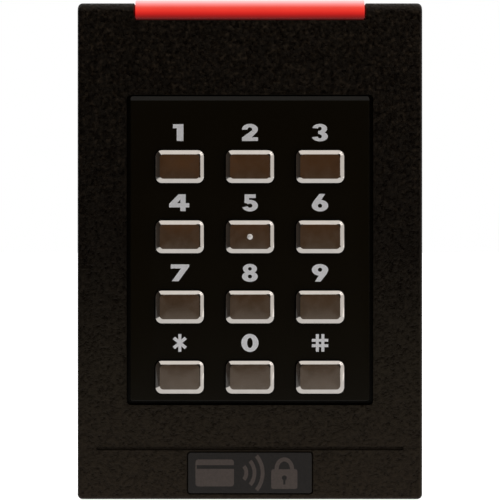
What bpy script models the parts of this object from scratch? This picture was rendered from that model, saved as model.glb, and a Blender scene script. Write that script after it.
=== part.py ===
"""Keypad access reader for a wall box, as separate pieces.

The reader stands upright as on its wall: +X is to the right seen from the front, +Z is up, and the front faces -Y.
The origin is the middle of the mounting plate's back, on the wall. Depths are distances from the wall, so a depth
of 25 mm is at y = -25 mm. Pieces that touch on the real reader keep a gap of FIT.
"""

import math

import bmesh
import bpy
from mathutils import Matrix, Vector

MM = 0.001
FIT = 0.3 * MM

# The whole reader
WIDTH = 84.7 * MM
HEIGHT = 121.8 * MM
WALL = 2.3 * MM
HOUSING_BACK = 0.3 * MM
HOUSING_FRONT = 25.0 * MM
CORNER_RADIUS = 1.2 * MM
DRAFT = 0.25 * MM
FRONT_FILLET = 0.8 * MM
TOP_FILLET = 2.4 * MM
CAVITY_FRONT = HOUSING_FRONT - WALL
CAVITY_HALF_WIDTH = WIDTH / 2 - DRAFT - WALL
CAVITY_HALF_HEIGHT = HEIGHT / 2 - DRAFT - WALL

# Keypad: three columns and four rows of keys on one pitch
KEY_PITCH = 17.1 * MM
KEY_WIDTH = 11.7 * MM
KEY_HEIGHT = 7.95 * MM
KEY_CORNER = 1.5 * MM
KEY_BEVEL_WIDTH = 1.0 * MM
KEY_BEVEL_DEPTH = 0.65 * MM
KEY_TOP = 27.5 * MM
KEY_BACK = 20.8 * MM
KEY_COLLAR = 0.7 * MM
KEY_COLLAR_THICK = 0.9 * MM
KEY_TRAVEL = 1.0 * MM
DOT_RADIUS = 0.65 * MM
DOT_HEIGHT = 0.4 * MM
TOP_ROW_Z = 20.55 * MM
KEY_ROWS = (("1", "2", "3"), ("4", "5", "6"), ("7", "8", "9"), ("star", "0", "hash"))

# Keypad bezel: the smooth panel in the housing's window
BEZEL_FRONT = 25.8 * MM
BEZEL_HALF_WIDTH = 29.15 * MM
BEZEL_BOTTOM = -36.6 * MM
BEZEL_TOP = 37.8 * MM
BEZEL_CORNER = 0.6 * MM
BEZEL_SLOPE = 1.1 * MM
BEZEL_PLATE_BACK = 22.0 * MM
BEZEL_BACK = 18.9 * MM
FLANGE_HALF_WIDTH = 33.0 * MM
FLANGE_BOTTOM = -40.4 * MM
FLANGE_TOP = 41.6 * MM
WINDOW_HALF_WIDTH = 30.05 * MM
WINDOW_BOTTOM = -37.6 * MM
WINDOW_TOP = 38.1 * MM
WINDOW_CORNER = 0.9 * MM
STAKES = [(x * MM, z * MM) for x in (-30.6, 30.6) for z in (-38.0, 39.0)]
STAKE_RADIUS = 1.2 * MM
STAKE_HEAD_RADIUS = 2.1 * MM

# Layers behind the keypad
MAT_BACK = 17.7 * MM
MAT_FRONT = BEZEL_BACK - FIT
DOME_FOOT = 4.3 * MM
DOME_TOP = 2.4 * MM
DOME_WALL = 0.7 * MM
PILL_RADIUS = 1.4 * MM
KEYPAD_BOARD_BACK = 15.8 * MM
KEYPAD_BOARD_FRONT = 17.4 * MM
MAIN_BOARD_BACK = 11.4 * MM
MAIN_BOARD_FRONT = 13.0 * MM
PARTS_BACK = MAIN_BOARD_FRONT + FIT
COVER_BACK = 8.4 * MM
COVER_FRONT = 10.0 * MM

# Light bar over the top front edge
BAR_HALF_WIDTH = 28.0 * MM
BAR_FRONT = HOUSING_FRONT + 0.15 * MM
BAR_TOP = HEIGHT / 2 + 0.5 * MM
BAR_BOTTOM = 56.75 * MM
BAR_BACK = 17.3 * MM
BAR_RADIUS = 2.5 * MM
GUIDE_BACK = 15.2 * MM
GUIDE_BOTTOM = 53.4 * MM
LED_Z = 55.4 * MM
LED_PITCH = 14.0 * MM

# Groove and badge low on the front
GROOVE_Z = -48.2 * MM
GROOVE_LENGTH = 75.0 * MM
GROOVE_WIDTH = 0.9 * MM
GROOVE_DEPTH = 0.8 * MM
BADGE_WIDTH = 30.2 * MM
BADGE_HEIGHT = 9.9 * MM
BADGE_Z = -54.2 * MM
BADGE_THICK = 0.7 * MM

# Mounting plate: 83.3 mm between the screw slots of a US box, 60 mm across a European one
PLATE_THICK = 2.4 * MM
PLATE_HALF_WIDTH = 39.1 * MM
PLATE_HALF_HEIGHT = 57.6 * MM
US_BOX_SPACING = 83.3 * MM
EU_BOX_SPACING = 60.0 * MM
SLOT_WIDTH = 4.0 * MM
SLOT_LENGTH = 9.0 * MM
OPENING_HALF_WIDTH = 25.0 * MM
OPENING_NEAR = 5.0 * MM
OPENING_FAR = 36.0 * MM
HOOK_X = 20.0 * MM
HOOK_WIDTH = 8.0 * MM

# Fasteners
BOSS_X = 35.0 * MM
BOSS_Z = 50.0 * MM
BOSS_RADIUS = 3.5 * MM
SHANK_RADIUS = 1.3 * MM
SCREW_Y = -5.4 * MM
SECURITY_SHANK = 1.25 * MM
SECURITY_HEAD = 2.6 * MM
NUT_ACROSS_FLATS = 5.0 * MM
TAB_HALF_WIDTH = 7.0 * MM
TAB_FRONT = 7.9 * MM
TAB_THICK = 2.4 * MM

# Terminal block
TERMINALS = 8
TERMINAL_PITCH = 5.08 * MM
TERMINAL_Z = 10.0 * MM
TERMINAL_BACK = 1.9 * MM
WELL_RADIUS = 1.8 * MM

ROUND = 20
SMALL_ROUND = 12
CORNER_SEGMENTS = 4

FINISHES = {
    "textured_black": ((0.012, 0.011, 0.010), 0.55, 0.0),
    "smooth_black": ((0.006, 0.005, 0.005), 0.35, 0.0),
    "key_metal": ((0.62, 0.59, 0.55), 0.22, 1.0),
    "red_light_pipe": ((0.80, 0.035, 0.02), 0.25, 0.0),
    "badge_dark": ((0.022, 0.020, 0.019), 0.40, 0.0),
    "silicone_grey": ((0.28, 0.28, 0.27), 0.60, 0.0),
    "board_green": ((0.01, 0.10, 0.04), 0.40, 0.0),
    "copper_wire": ((0.72, 0.34, 0.16), 0.30, 1.0),
    "chip_black": ((0.02, 0.02, 0.02), 0.50, 0.0),
    "bright_can": ((0.75, 0.75, 0.73), 0.25, 1.0),
    "led_white": ((0.85, 0.83, 0.75), 0.40, 0.0),
    "cover_black": ((0.02, 0.02, 0.02), 0.60, 0.0),
    "terminal_green": ((0.02, 0.25, 0.08), 0.45, 0.0),
    "zinc_steel": ((0.60, 0.60, 0.58), 0.35, 1.0),
    "nickel_steel": ((0.70, 0.68, 0.64), 0.28, 1.0),
}


def clear_scene():
    for obj in list(bpy.data.objects):
        bpy.data.objects.remove(obj, do_unlink=True)


def make_material(name):
    colour, roughness, metallic = FINISHES[name]
    material = bpy.data.materials.new(name)
    material.use_nodes = True
    shader = material.node_tree.nodes["Principled BSDF"]
    shader.inputs["Base Color"].default_value = (*colour, 1.0)
    shader.inputs["Roughness"].default_value = roughness
    shader.inputs["Metallic"].default_value = metallic
    return material


def make_collection(name):
    collection = bpy.data.collections.new(name)
    bpy.context.scene.collection.children.link(collection)
    return collection


def add_piece(name, shape, finish, at=(0, 0, 0), sharp=35):
    """Turns a bmesh into a named piece of the reader; at is its place in x, depth and z."""
    mesh = bpy.data.meshes.new(name)
    shape.to_mesh(mesh)
    shape.free()
    mesh.shade_smooth()
    mesh.set_sharp_from_angle(angle=math.radians(sharp))
    mesh.materials.append(MATERIALS[finish])
    piece = bpy.data.objects.new(name, mesh)
    piece.location = (at[0], -at[1], at[2])
    piece.parent = READER
    PIECES.objects.link(piece)
    return piece


def add_cutter(name, shape):
    """A helper for a Boolean, left out of renders."""
    mesh = bpy.data.meshes.new(name)
    shape.to_mesh(mesh)
    shape.free()
    helper = bpy.data.objects.new(name, mesh)
    helper.hide_render = True
    helper.display_type = "WIRE"
    HELPERS.objects.link(helper)
    return helper


def combine(piece, operation, *shapes):
    """Adds one Boolean modifier for the shapes, which may be several separate ones."""
    helper = add_cutter(f"{piece.name}_{operation.lower()}_{len(piece.modifiers)}", merged(*shapes))
    helper.parent = piece.parent
    helper.location = piece.location
    modifier = piece.modifiers.new(helper.name, "BOOLEAN")
    modifier.operation = operation
    modifier.object = helper
    return piece


def cut(piece, *shapes):
    return combine(piece, "DIFFERENCE", *shapes)


def join(piece, *shapes):
    return combine(piece, "UNION", *shapes)


def merged(*shapes):
    """One bmesh that holds several."""
    whole = bmesh.new()
    for shape in shapes:
        carrier = bpy.data.meshes.new("carrier")
        shape.to_mesh(carrier)
        shape.free()
        whole.from_mesh(carrier)
        bpy.data.meshes.remove(carrier)
    return whole


def block(x, depth, z, corner=0.0, segments=CORNER_SEGMENTS):
    """A box between pairs of limits. corner rounds the four edges that run from front to back."""
    shape = bmesh.new()
    bmesh.ops.create_cube(shape, size=1.0)
    size = Vector((x[1] - x[0], depth[1] - depth[0], z[1] - z[0]))
    middle = Vector((x[0] + x[1], -(depth[0] + depth[1]), z[0] + z[1])) / 2
    bmesh.ops.scale(shape, vec=size, verts=shape.verts)
    bmesh.ops.translate(shape, vec=middle, verts=shape.verts)
    if corner:
        edges = [e for e in shape.edges if abs(e.verts[0].co.y - e.verts[1].co.y) > size.y / 2]
        bmesh.ops.bevel(shape, geom=edges, offset=corner, segments=segments, profile=0.5, affect="EDGES")
    return shape


def plate(width, thickness, height, corner=0.0, at=(0, 0, 0), segments=CORNER_SEGMENTS):
    """A block of a given size around a point in x, depth and z."""
    x, depth, z = at
    limits = [(centre - size / 2, centre + size / 2)
              for centre, size in ((x, width), (depth, thickness), (z, height))]
    return block(*limits, corner=corner, segments=segments)


def rod(radius, depth, x=0.0, z=0.0, sides=ROUND):
    """A cylinder from one depth to another."""
    turn = Matrix.Rotation(math.radians(90), 4, "X")
    place = Matrix.Translation((x, -(depth[0] + depth[1]) / 2, z))
    shape = bmesh.new()
    bmesh.ops.create_cone(shape, cap_ends=True, segments=sides, radius1=radius, radius2=radius,
                          depth=depth[1] - depth[0], matrix=place @ turn)
    return shape


def pillar(radius, z, x=0.0, y=0.0, sides=ROUND):
    """An upright cylinder from one height to another."""
    shape = bmesh.new()
    bmesh.ops.create_cone(shape, cap_ends=True, segments=sides, radius1=radius, radius2=radius,
                          depth=z[1] - z[0], matrix=Matrix.Translation((x, y, (z[0] + z[1]) / 2)))
    return shape


def front_face(shape):
    """The face of a shape that is furthest to the front."""
    return min(shape.faces, key=lambda face: face.calc_center_median().y)


def round_front(shape, radius, segments=3):
    """Rounds the edge all round the front face."""
    edges = list(front_face(shape).edges)
    bmesh.ops.bevel(shape, geom=edges, offset=radius, segments=segments, profile=0.5, affect="EDGES")
    return shape


def push_front(shape, distance):
    """Extrudes the front face forwards."""
    made = bmesh.ops.extrude_discrete_faces(shape, faces=[front_face(shape)])
    bmesh.ops.translate(shape, vec=(0, -distance, 0), verts=made["faces"][0].verts)
    return shape


def key_places():
    """Each key's name with its x and z."""
    for row, names in enumerate(KEY_ROWS):
        for column, name in enumerate(names):
            yield name, (column - 1) * KEY_PITCH, TOP_ROW_Z - row * KEY_PITCH


def corners(x, z):
    return [(sx * x, sz * z) for sx in (-1, 1) for sz in (-1, 1)]


def arc(middle, radius, start, stop, steps):
    """Points along an arc in depth and height, by angle in degrees from the front."""
    angles = [math.radians(start + (stop - start) * step / steps) for step in range(steps + 1)]
    return [(middle[0] + radius * math.cos(a), middle[1] + radius * math.sin(a)) for a in angles]


def extruded(points, half_width):
    """A flat outline of depths and heights, as a solid that runs from side to side."""
    outline = bpy.data.curves.new("outline", "CURVE")
    outline.dimensions = "2D"
    outline.fill_mode = "BOTH"
    outline.extrude = half_width
    spline = outline.splines.new("POLY")
    spline.points.add(len(points) - 1)
    spline.use_cyclic_u = True
    for point, (depth, z) in zip(spline.points, points):
        point.co = (depth, z, 0, 1)
    carrier = bpy.data.objects.new("outline", outline)
    HELPERS.objects.link(carrier)
    # The outline's first axis is the depth, its second is up, and it is extruded sideways.
    carrier.matrix_world = Matrix(((0, 0, 1, 0), (-1, 0, 0, 0), (0, 1, 0, 0), (0, 0, 0, 1)))
    bpy.context.view_layer.update()
    solid = bpy.data.meshes.new_from_object(carrier.evaluated_get(bpy.context.evaluated_depsgraph_get()))
    shape = bmesh.new()
    shape.from_mesh(solid)
    bmesh.ops.transform(shape, matrix=carrier.matrix_world, verts=shape.verts)
    bmesh.ops.remove_doubles(shape, verts=shape.verts, dist=0.01 * MM)
    bmesh.ops.recalc_face_normals(shape, faces=shape.faces)
    bpy.data.objects.remove(carrier)
    bpy.data.meshes.remove(solid)
    return shape


def round_top(housing):
    """Gives the top front edge its larger radius, so that it runs on from the light bar."""
    edge = (HOUSING_FRONT, HEIGHT / 2 - DRAFT)
    middle = (edge[0] - TOP_FILLET, edge[1] - TOP_FILLET)
    beyond = 2 * MM
    outside = [(edge[0] + beyond, middle[1]), (edge[0] + beyond, edge[1] + beyond), (middle[0], edge[1] + beyond)]
    cut(housing, extruded([*arc(middle, TOP_FILLET, 90, 0, 6), *outside], WIDTH))


def front_housing():
    """The moulded shell: a box open at the back, with the keypad window and the notch for the light bar."""
    outer = block((-WIDTH / 2, WIDTH / 2), (HOUSING_BACK, HOUSING_FRONT), (-HEIGHT / 2, HEIGHT / 2),
                  corner=CORNER_RADIUS, segments=5)
    narrower = (1 - 2 * DRAFT / WIDTH, 1, 1 - 2 * DRAFT / HEIGHT)
    bmesh.ops.scale(outer, vec=narrower, verts=front_face(outer).verts)
    housing = add_piece("front_housing", round_front(outer, FRONT_FILLET), "textured_black")
    round_top(housing)
    cut(housing, block((-CAVITY_HALF_WIDTH, CAVITY_HALF_WIDTH), (-WALL, CAVITY_FRONT),
                       (-CAVITY_HALF_HEIGHT, CAVITY_HALF_HEIGHT), corner=0.6 * MM, segments=2))
    boss_depths = (PARTS_BACK, CAVITY_FRONT + WALL / 3)
    join(housing, *[rod(BOSS_RADIUS, boss_depths, x, z) for x, z in corners(BOSS_X, BOSS_Z)])
    rib_depths = (PARTS_BACK + 4 * MM, boss_depths[1])
    join(housing, *[plate(4.0 * MM, rib_depths[1] - rib_depths[0], 1.2 * MM,
                          at=(x * 1.1, sum(rib_depths) / 2, z)) for x, z in corners(BOSS_X, BOSS_Z)])
    pilot_depths = (PARTS_BACK - WALL, PARTS_BACK + 7.5 * MM)
    cut(housing, *[rod(SHANK_RADIUS + FIT, pilot_depths, x, z, SMALL_ROUND)
                   for x, z in corners(BOSS_X, BOSS_Z)])
    through = (CAVITY_FRONT - WALL / 2, HOUSING_FRONT + WALL)
    cut(housing, block((-WINDOW_HALF_WIDTH, WINDOW_HALF_WIDTH), through, (WINDOW_BOTTOM, WINDOW_TOP),
                       corner=WINDOW_CORNER))
    notch = BAR_HALF_WIDTH + FIT
    cut(housing, block((-notch, notch), (BAR_BACK - FIT, through[1]), (BAR_BOTTOM - FIT, HEIGHT)))
    groove = plate(GROOVE_LENGTH, 2 * GROOVE_DEPTH, GROOVE_WIDTH, corner=GROOVE_WIDTH * 0.45,
                   at=(0, HOUSING_FRONT, GROOVE_Z))
    badge_seat = plate(BADGE_WIDTH + 2 * FIT, 2 * (BADGE_THICK + FIT), BADGE_HEIGHT + 2 * FIT,
                       corner=0.8 * MM, at=(0, HOUSING_FRONT, BADGE_Z), segments=2)
    cut(housing, groove, badge_seat)
    hook_seats = [plate(HOOK_WIDTH + 1 * MM, 3.0 * MM, 2.8 * MM, at=(x, 4.1 * MM, CAVITY_HALF_HEIGHT))
                  for x in (-HOOK_X, HOOK_X)]
    cut(housing, *hook_seats)
    bottom = -HEIGHT / 2
    cut(housing, pillar(SECURITY_SHANK + FIT, (bottom - WALL, bottom + 2 * WALL), y=SCREW_Y))
    cut(housing, pillar(SECURITY_HEAD + FIT, (bottom - WALL, bottom + 1.4 * MM), y=SCREW_Y))
    return housing


def keypad_bezel():
    """The smooth panel that guides the keys, with a flange behind the housing and four heat-stake posts."""
    face = block((-BEZEL_HALF_WIDTH, BEZEL_HALF_WIDTH), (BEZEL_PLATE_BACK, BEZEL_FRONT),
                 (BEZEL_BOTTOM, BEZEL_TOP), corner=BEZEL_CORNER)
    top_edges = [e for e in front_face(face).edges if min(v.co.z for v in e.verts) > BEZEL_TOP - 0.1 * MM]
    bmesh.ops.bevel(face, geom=top_edges, offset=BEZEL_SLOPE, segments=2, profile=0.5, affect="EDGES")
    bezel = add_piece("keypad_bezel", face, "smooth_black")
    flange_front = CAVITY_FRONT - FIT - 0.2 * MM
    join(bezel, block((-FLANGE_HALF_WIDTH, FLANGE_HALF_WIDTH), (BEZEL_BACK, flange_front),
                      (FLANGE_BOTTOM, FLANGE_TOP), corner=2.0 * MM))
    cut(bezel, block((-27.5 * MM, 27.5 * MM), (BEZEL_BACK - WALL, BEZEL_PLATE_BACK),
                     (BEZEL_BOTTOM + FIT, BEZEL_TOP - 1.0 * MM), corner=1.5 * MM, segments=2))
    aperture_depths = (BEZEL_PLATE_BACK - WALL, BEZEL_FRONT + WALL)
    cut(bezel, *[plate(KEY_WIDTH + 2 * FIT, aperture_depths[1] - aperture_depths[0], KEY_HEIGHT + 2 * FIT,
                       corner=KEY_CORNER + FIT, at=(x, sum(aperture_depths) / 2, z))
                 for _, x, z in key_places()])
    head_depths = (KEYPAD_BOARD_BACK - FIT - 0.9 * MM, KEYPAD_BOARD_BACK - FIT)
    join(bezel, *[rod(STAKE_RADIUS, (head_depths[0] + FIT, BEZEL_BACK + 1 * MM), x, z, SMALL_ROUND)
                  for x, z in STAKES])
    join(bezel, *[rod(STAKE_HEAD_RADIUS, head_depths, x, z, SMALL_ROUND) for x, z in STAKES])
    return bezel


def key_shape():
    """A metal cap: collar, shaft and a bevelled top, around the middle of its own back."""
    half_width = KEY_WIDTH / 2 + KEY_COLLAR
    half_height = KEY_HEIGHT / 2 + KEY_COLLAR
    shape = block((-half_width, half_width), (0, KEY_COLLAR_THICK), (-half_height, half_height),
                  corner=KEY_CORNER + KEY_COLLAR, segments=5)
    bmesh.ops.inset_region(shape, faces=[front_face(shape)], thickness=KEY_COLLAR, depth=0)
    push_front(shape, KEY_TOP - KEY_BACK - KEY_COLLAR_THICK - KEY_BEVEL_DEPTH)
    bmesh.ops.inset_region(shape, faces=[front_face(shape)], thickness=KEY_BEVEL_WIDTH,
                           depth=KEY_BEVEL_DEPTH)
    return shape


def keys():
    """Twelve caps that slide straight in. The middle one carries the raised dot that a finger finds."""
    for name, x, z in key_places():
        key = add_piece(f"key_{name}", key_shape(), "key_metal", at=(x, KEY_BACK, z))
        if name == "5":
            centre = (0, KEY_BACK - KEY_TOP + DOT_RADIUS - DOT_HEIGHT, 0)
            dot = bmesh.new()
            bmesh.ops.create_uvsphere(dot, u_segments=SMALL_ROUND, v_segments=8, radius=DOT_RADIUS,
                                      matrix=Matrix.Translation(centre))
            join(key, dot)


def turned(profile, x, depth, z, sides=SMALL_ROUND):
    """A solid turned from (radius, height) points, standing up towards the front from a depth."""
    shape = bmesh.new()
    points = [shape.verts.new((radius, 0, height)) for radius, height in profile]
    edges = [shape.edges.new(pair) for pair in zip(points, points[1:])]
    bmesh.ops.spin(shape, geom=points + edges, axis=(0, 0, 1), cent=(0, 0, 0), angle=math.radians(360),
                   steps=sides, use_merge=True)
    bmesh.ops.remove_doubles(shape, verts=shape.verts, dist=0.01 * MM)
    bmesh.ops.recalc_face_normals(shape, faces=shape.faces)
    bmesh.ops.rotate(shape, matrix=Matrix.Rotation(math.radians(90), 3, "X"), verts=shape.verts)
    bmesh.ops.translate(shape, vec=(x, -depth, z), verts=shape.verts)
    return shape


def stake_holes(depths):
    return [rod(STAKE_RADIUS + FIT, depths, x, z, SMALL_ROUND) for x, z in STAKES]


def keypad_mat():
    """The silicone sheet that seals the keypad. A hollow dome pushes each key back, with a contact pill in it."""
    mat = add_piece("keypad_mat", block((-FLANGE_HALF_WIDTH, FLANGE_HALF_WIDTH), (MAT_BACK, MAT_FRONT),
                                        (FLANGE_BOTTOM, FLANGE_TOP), corner=2.0 * MM), "silicone_grey")
    top = KEY_BACK - FIT - MAT_BACK
    dome = [(0, 0.3 * MM), (DOME_FOOT, 0.3 * MM), (DOME_TOP + 0.5 * MM, top - 0.5 * MM),
            (DOME_TOP, top), (0, top)]
    hollow = [(0, -WALL), (DOME_FOOT - DOME_WALL, -WALL), (DOME_FOOT - DOME_WALL, 0.6 * MM),
              (DOME_TOP - 0.2 * MM, top - DOME_WALL), (0, top - DOME_WALL)]
    join(mat, *[turned(dome, x, MAT_BACK, z) for _, x, z in key_places()])
    cut(mat, *[turned(hollow, x, MAT_BACK, z) for _, x, z in key_places()],
        *stake_holes((MAT_BACK - WALL, MAT_FRONT + WALL)))
    pill_depths = (MAT_BACK + KEY_TRAVEL, KEY_BACK - FIT - DOME_WALL / 2)
    join(mat, *[rod(PILL_RADIUS, pill_depths, x, z, SMALL_ROUND) for _, x, z in key_places()])
    return mat


def keypad_board():
    board = add_piece("keypad_board", block((-FLANGE_HALF_WIDTH, FLANGE_HALF_WIDTH),
                                            (KEYPAD_BOARD_BACK, KEYPAD_BOARD_FRONT),
                                            (FLANGE_BOTTOM, FLANGE_TOP), corner=1.0 * MM, segments=2),
                      "board_green")
    cut(board, *stake_holes((KEYPAD_BOARD_BACK - WALL, KEYPAD_BOARD_FRONT + WALL)))
    return board


def light_bar():
    """The light pipe: a rounded strip over the top front edge, and the guide behind it that faces the lamps."""
    middle = (BAR_FRONT - BAR_RADIUS, BAR_TOP - BAR_RADIUS)
    guide_top = CAVITY_HALF_HEIGHT - FIT
    guide_front = CAVITY_FRONT - FIT
    points = [(BAR_FRONT, BAR_BOTTOM), *arc(middle, BAR_RADIUS, 0, 90, 6), (BAR_BACK, BAR_TOP),
              (BAR_BACK, guide_top), (GUIDE_BACK, guide_top), (GUIDE_BACK, GUIDE_BOTTOM),
              (guide_front, GUIDE_BOTTOM), (guide_front, BAR_BOTTOM)]
    return add_piece("light_bar", extruded(points, BAR_HALF_WIDTH), "red_light_pipe")


def badge_plate():
    """A blank badge that sits flush in its seat."""
    shape = plate(BADGE_WIDTH, BADGE_THICK, BADGE_HEIGHT, corner=0.6 * MM, segments=2)
    return add_piece("badge_plate", shape, "badge_dark", at=(0, HOUSING_FRONT - BADGE_THICK / 2, BADGE_Z))


def main_board():
    board = add_piece("main_board", block((-38.2 * MM, 38.2 * MM), (MAIN_BOARD_BACK, MAIN_BOARD_FRONT),
                                          (-55.0 * MM, 57.6 * MM), corner=1.5 * MM, segments=2),
                      "board_green")
    through = (MAIN_BOARD_BACK - WALL, MAIN_BOARD_FRONT + WALL)
    cut(board, *[rod(SHANK_RADIUS + FIT, through, x, z, SMALL_ROUND) for x, z in corners(BOSS_X, BOSS_Z)])
    return board


def antenna_coil():
    """The card antenna: a flat rectangular winding on the front of the main board."""
    half_width, half_height, wire_band, thick = 27.5 * MM, 46.0 * MM, 2.6 * MM, 1.2 * MM
    depths = (PARTS_BACK, PARTS_BACK + thick)
    coil = add_piece("antenna_coil", block((-half_width, half_width), depths, (-half_height, half_height),
                                           corner=6.0 * MM), "copper_wire")
    inner_x = half_width - wire_band
    inner_z = half_height - wire_band
    cut(coil, block((-inner_x, inner_x), (depths[0] - thick, depths[1] + thick), (-inner_z, inner_z),
                    corner=3.4 * MM))
    return coil


def board_parts():
    """What is soldered to the front of the main board."""
    def chip(name, width, thickness, height, x, z, finish, corner=0.0):
        middle = PARTS_BACK + thickness * MM / 2
        return add_piece(name, plate(width * MM, thickness * MM, height * MM, corner=corner * MM, segments=3),
                         finish, at=(x * MM, middle, z * MM))

    chip("controller_chip", 10, 1.2, 10, -8, -6, "chip_black")
    chip("radio_chip", 7, 1.0, 7, 10, 4, "chip_black")
    chip("crystal", 5, 1.3, 3.2, -1, 14, "bright_can", corner=1.0)
    chip("voltage_regulator", 6.5, 1.8, 6.2, 16, -22, "chip_black")
    chip("board_connector", 22, 2.2, 4.6, 0, -34, "chip_black")
    for number in range(4):
        led_x = (number - 1.5) * LED_PITCH
        chip(f"status_led_{number + 1}", 3.2, 1.6, 2.7, led_x / MM, LED_Z / MM, "led_white")
    chip("power_inductor", 6.0, 2.2, 6.0, 16, -31, "chip_black", corner=1.5)
    add_piece("filter_capacitor", rod(2.0 * MM, (0, 2.2 * MM), sides=16), "bright_can",
              at=(-16 * MM, PARTS_BACK, -24 * MM))
    add_piece("buzzer", rod(6.0 * MM, (0, 2.1 * MM), sides=24), "chip_black",
              at=(-14 * MM, PARTS_BACK, 30 * MM))


def rear_cover():
    """Closes the back of the electronics. A lip stiffens its edge and short posts stand off the board."""
    half_width = CAVITY_HALF_WIDTH - FIT
    half_height = CAVITY_HALF_HEIGHT - FIT
    cover = add_piece("rear_cover", block((-half_width, half_width), (COVER_BACK - 1 * MM, COVER_FRONT),
                                          (-half_height, half_height), corner=0.8 * MM, segments=2),
                      "cover_black")
    lip = 1.4 * MM
    cut(cover, block((-half_width + lip, half_width - lip), (0, COVER_BACK),
                     (-half_height + lip, half_height - lip), corner=1.0 * MM, segments=2))
    post_depths = (COVER_FRONT - 1 * MM, MAIN_BOARD_BACK - FIT)
    join(cover, *[rod(BOSS_RADIUS, post_depths, x, z) for x, z in corners(BOSS_X, BOSS_Z)])
    through = (COVER_BACK - WALL, MAIN_BOARD_BACK)
    cut(cover, *[rod(SHANK_RADIUS + FIT, through, x, z, SMALL_ROUND) for x, z in corners(BOSS_X, BOSS_Z)])
    terminal_gap = block((-21.3 * MM, 21.3 * MM), through, (TERMINAL_Z - 5.0 * MM, TERMINAL_Z + 5.0 * MM))
    sensor_gap = block((27.2 * MM, 32.8 * MM), through, (-22.5 * MM, -17.5 * MM))
    cut(cover, terminal_gap, sensor_gap)
    cut(cover, block((-TAB_HALF_WIDTH - 2 * FIT, TAB_HALF_WIDTH + 2 * FIT), (0, COVER_BACK - 0.1 * MM),
                     (-HEIGHT / 2, -half_height + 4 * MM)))
    return cover


def cover_screws():
    """Four pan-head screws through the cover and the board into the housing's bosses."""
    head_depths = (COVER_BACK - FIT - 1.4 * MM, COVER_BACK - FIT)
    tip = PARTS_BACK + 6.5 * MM
    for number, (x, z) in enumerate(corners(BOSS_X, BOSS_Z), start=1):
        screw = add_piece(f"cover_screw_{number}", rod(2.6 * MM, (0, head_depths[1] - head_depths[0])),
                          "zinc_steel", at=(x, head_depths[0], z))
        join(screw, rod(SHANK_RADIUS, (0.4 * MM, tip - head_depths[0]), sides=SMALL_ROUND))
        cross = [plate(3.0 * MM, 1.8 * MM, 0.7 * MM), plate(0.7 * MM, 1.8 * MM, 3.0 * MM)]
        cut(screw, cross[0])
        cut(screw, cross[1])


def terminal_places():
    return [(number - (TERMINALS - 1) / 2) * TERMINAL_PITCH for number in range(TERMINALS)]


def terminal_block():
    """A screw terminal strip on the back of the main board: wires go in from above, screws face the wall."""
    width = TERMINALS * TERMINAL_PITCH + 0.9 * MM
    depths = (TERMINAL_BACK, MAIN_BOARD_BACK - FIT)
    body = add_piece("terminal_block", block((-width / 2, width / 2), depths,
                                             (TERMINAL_Z - 4.5 * MM, TERMINAL_Z + 4.5 * MM)),
                     "terminal_green")
    cut(body, *[rod(WELL_RADIUS, (0, TERMINAL_BACK + 3.4 * MM), x, TERMINAL_Z - 1 * MM, SMALL_ROUND)
                for x in terminal_places()])
    entry_z = (TERMINAL_Z - 1 * MM, TERMINAL_Z + 6 * MM)
    cut(body, *[block((x - 1.7 * MM, x + 1.7 * MM), (TERMINAL_BACK + 3.6 * MM, TERMINAL_BACK + 6.6 * MM),
                      entry_z) for x in terminal_places()])
    return body


def terminal_screws():
    for number, x in enumerate(terminal_places(), start=1):
        length = 2.1 * MM
        screw = add_piece(f"terminal_screw_{number}", rod(WELL_RADIUS - FIT, (0, length), sides=16),
                          "zinc_steel", at=(x, TERMINAL_BACK + 1.0 * MM, TERMINAL_Z - 1 * MM))
        cut(screw, plate(4 * MM, 1.4 * MM, 0.6 * MM))


def tamper_sensor():
    """An optical sensor that looks through the cover at the mounting plate."""
    depths = (5.6 * MM, MAIN_BOARD_BACK - FIT)
    sensor = add_piece("tamper_sensor", block((27.5 * MM, 32.5 * MM), depths, (-22.2 * MM, -17.8 * MM)),
                       "chip_black")
    eyes = [rod(0.8 * MM, (depths[0] - 1 * MM, depths[0] + 0.5 * MM), x * MM, -20 * MM, SMALL_ROUND)
            for x in (28.9, 31.1)]
    cut(sensor, *eyes)
    return sensor


def slot(x, z, length_x, length_z):
    """A cutter for a round-ended slot in the mounting plate."""
    return plate(length_x, 4 * PLATE_THICK, length_z, corner=SLOT_WIDTH / 2 * 0.999, at=(x, 0, z))


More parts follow.
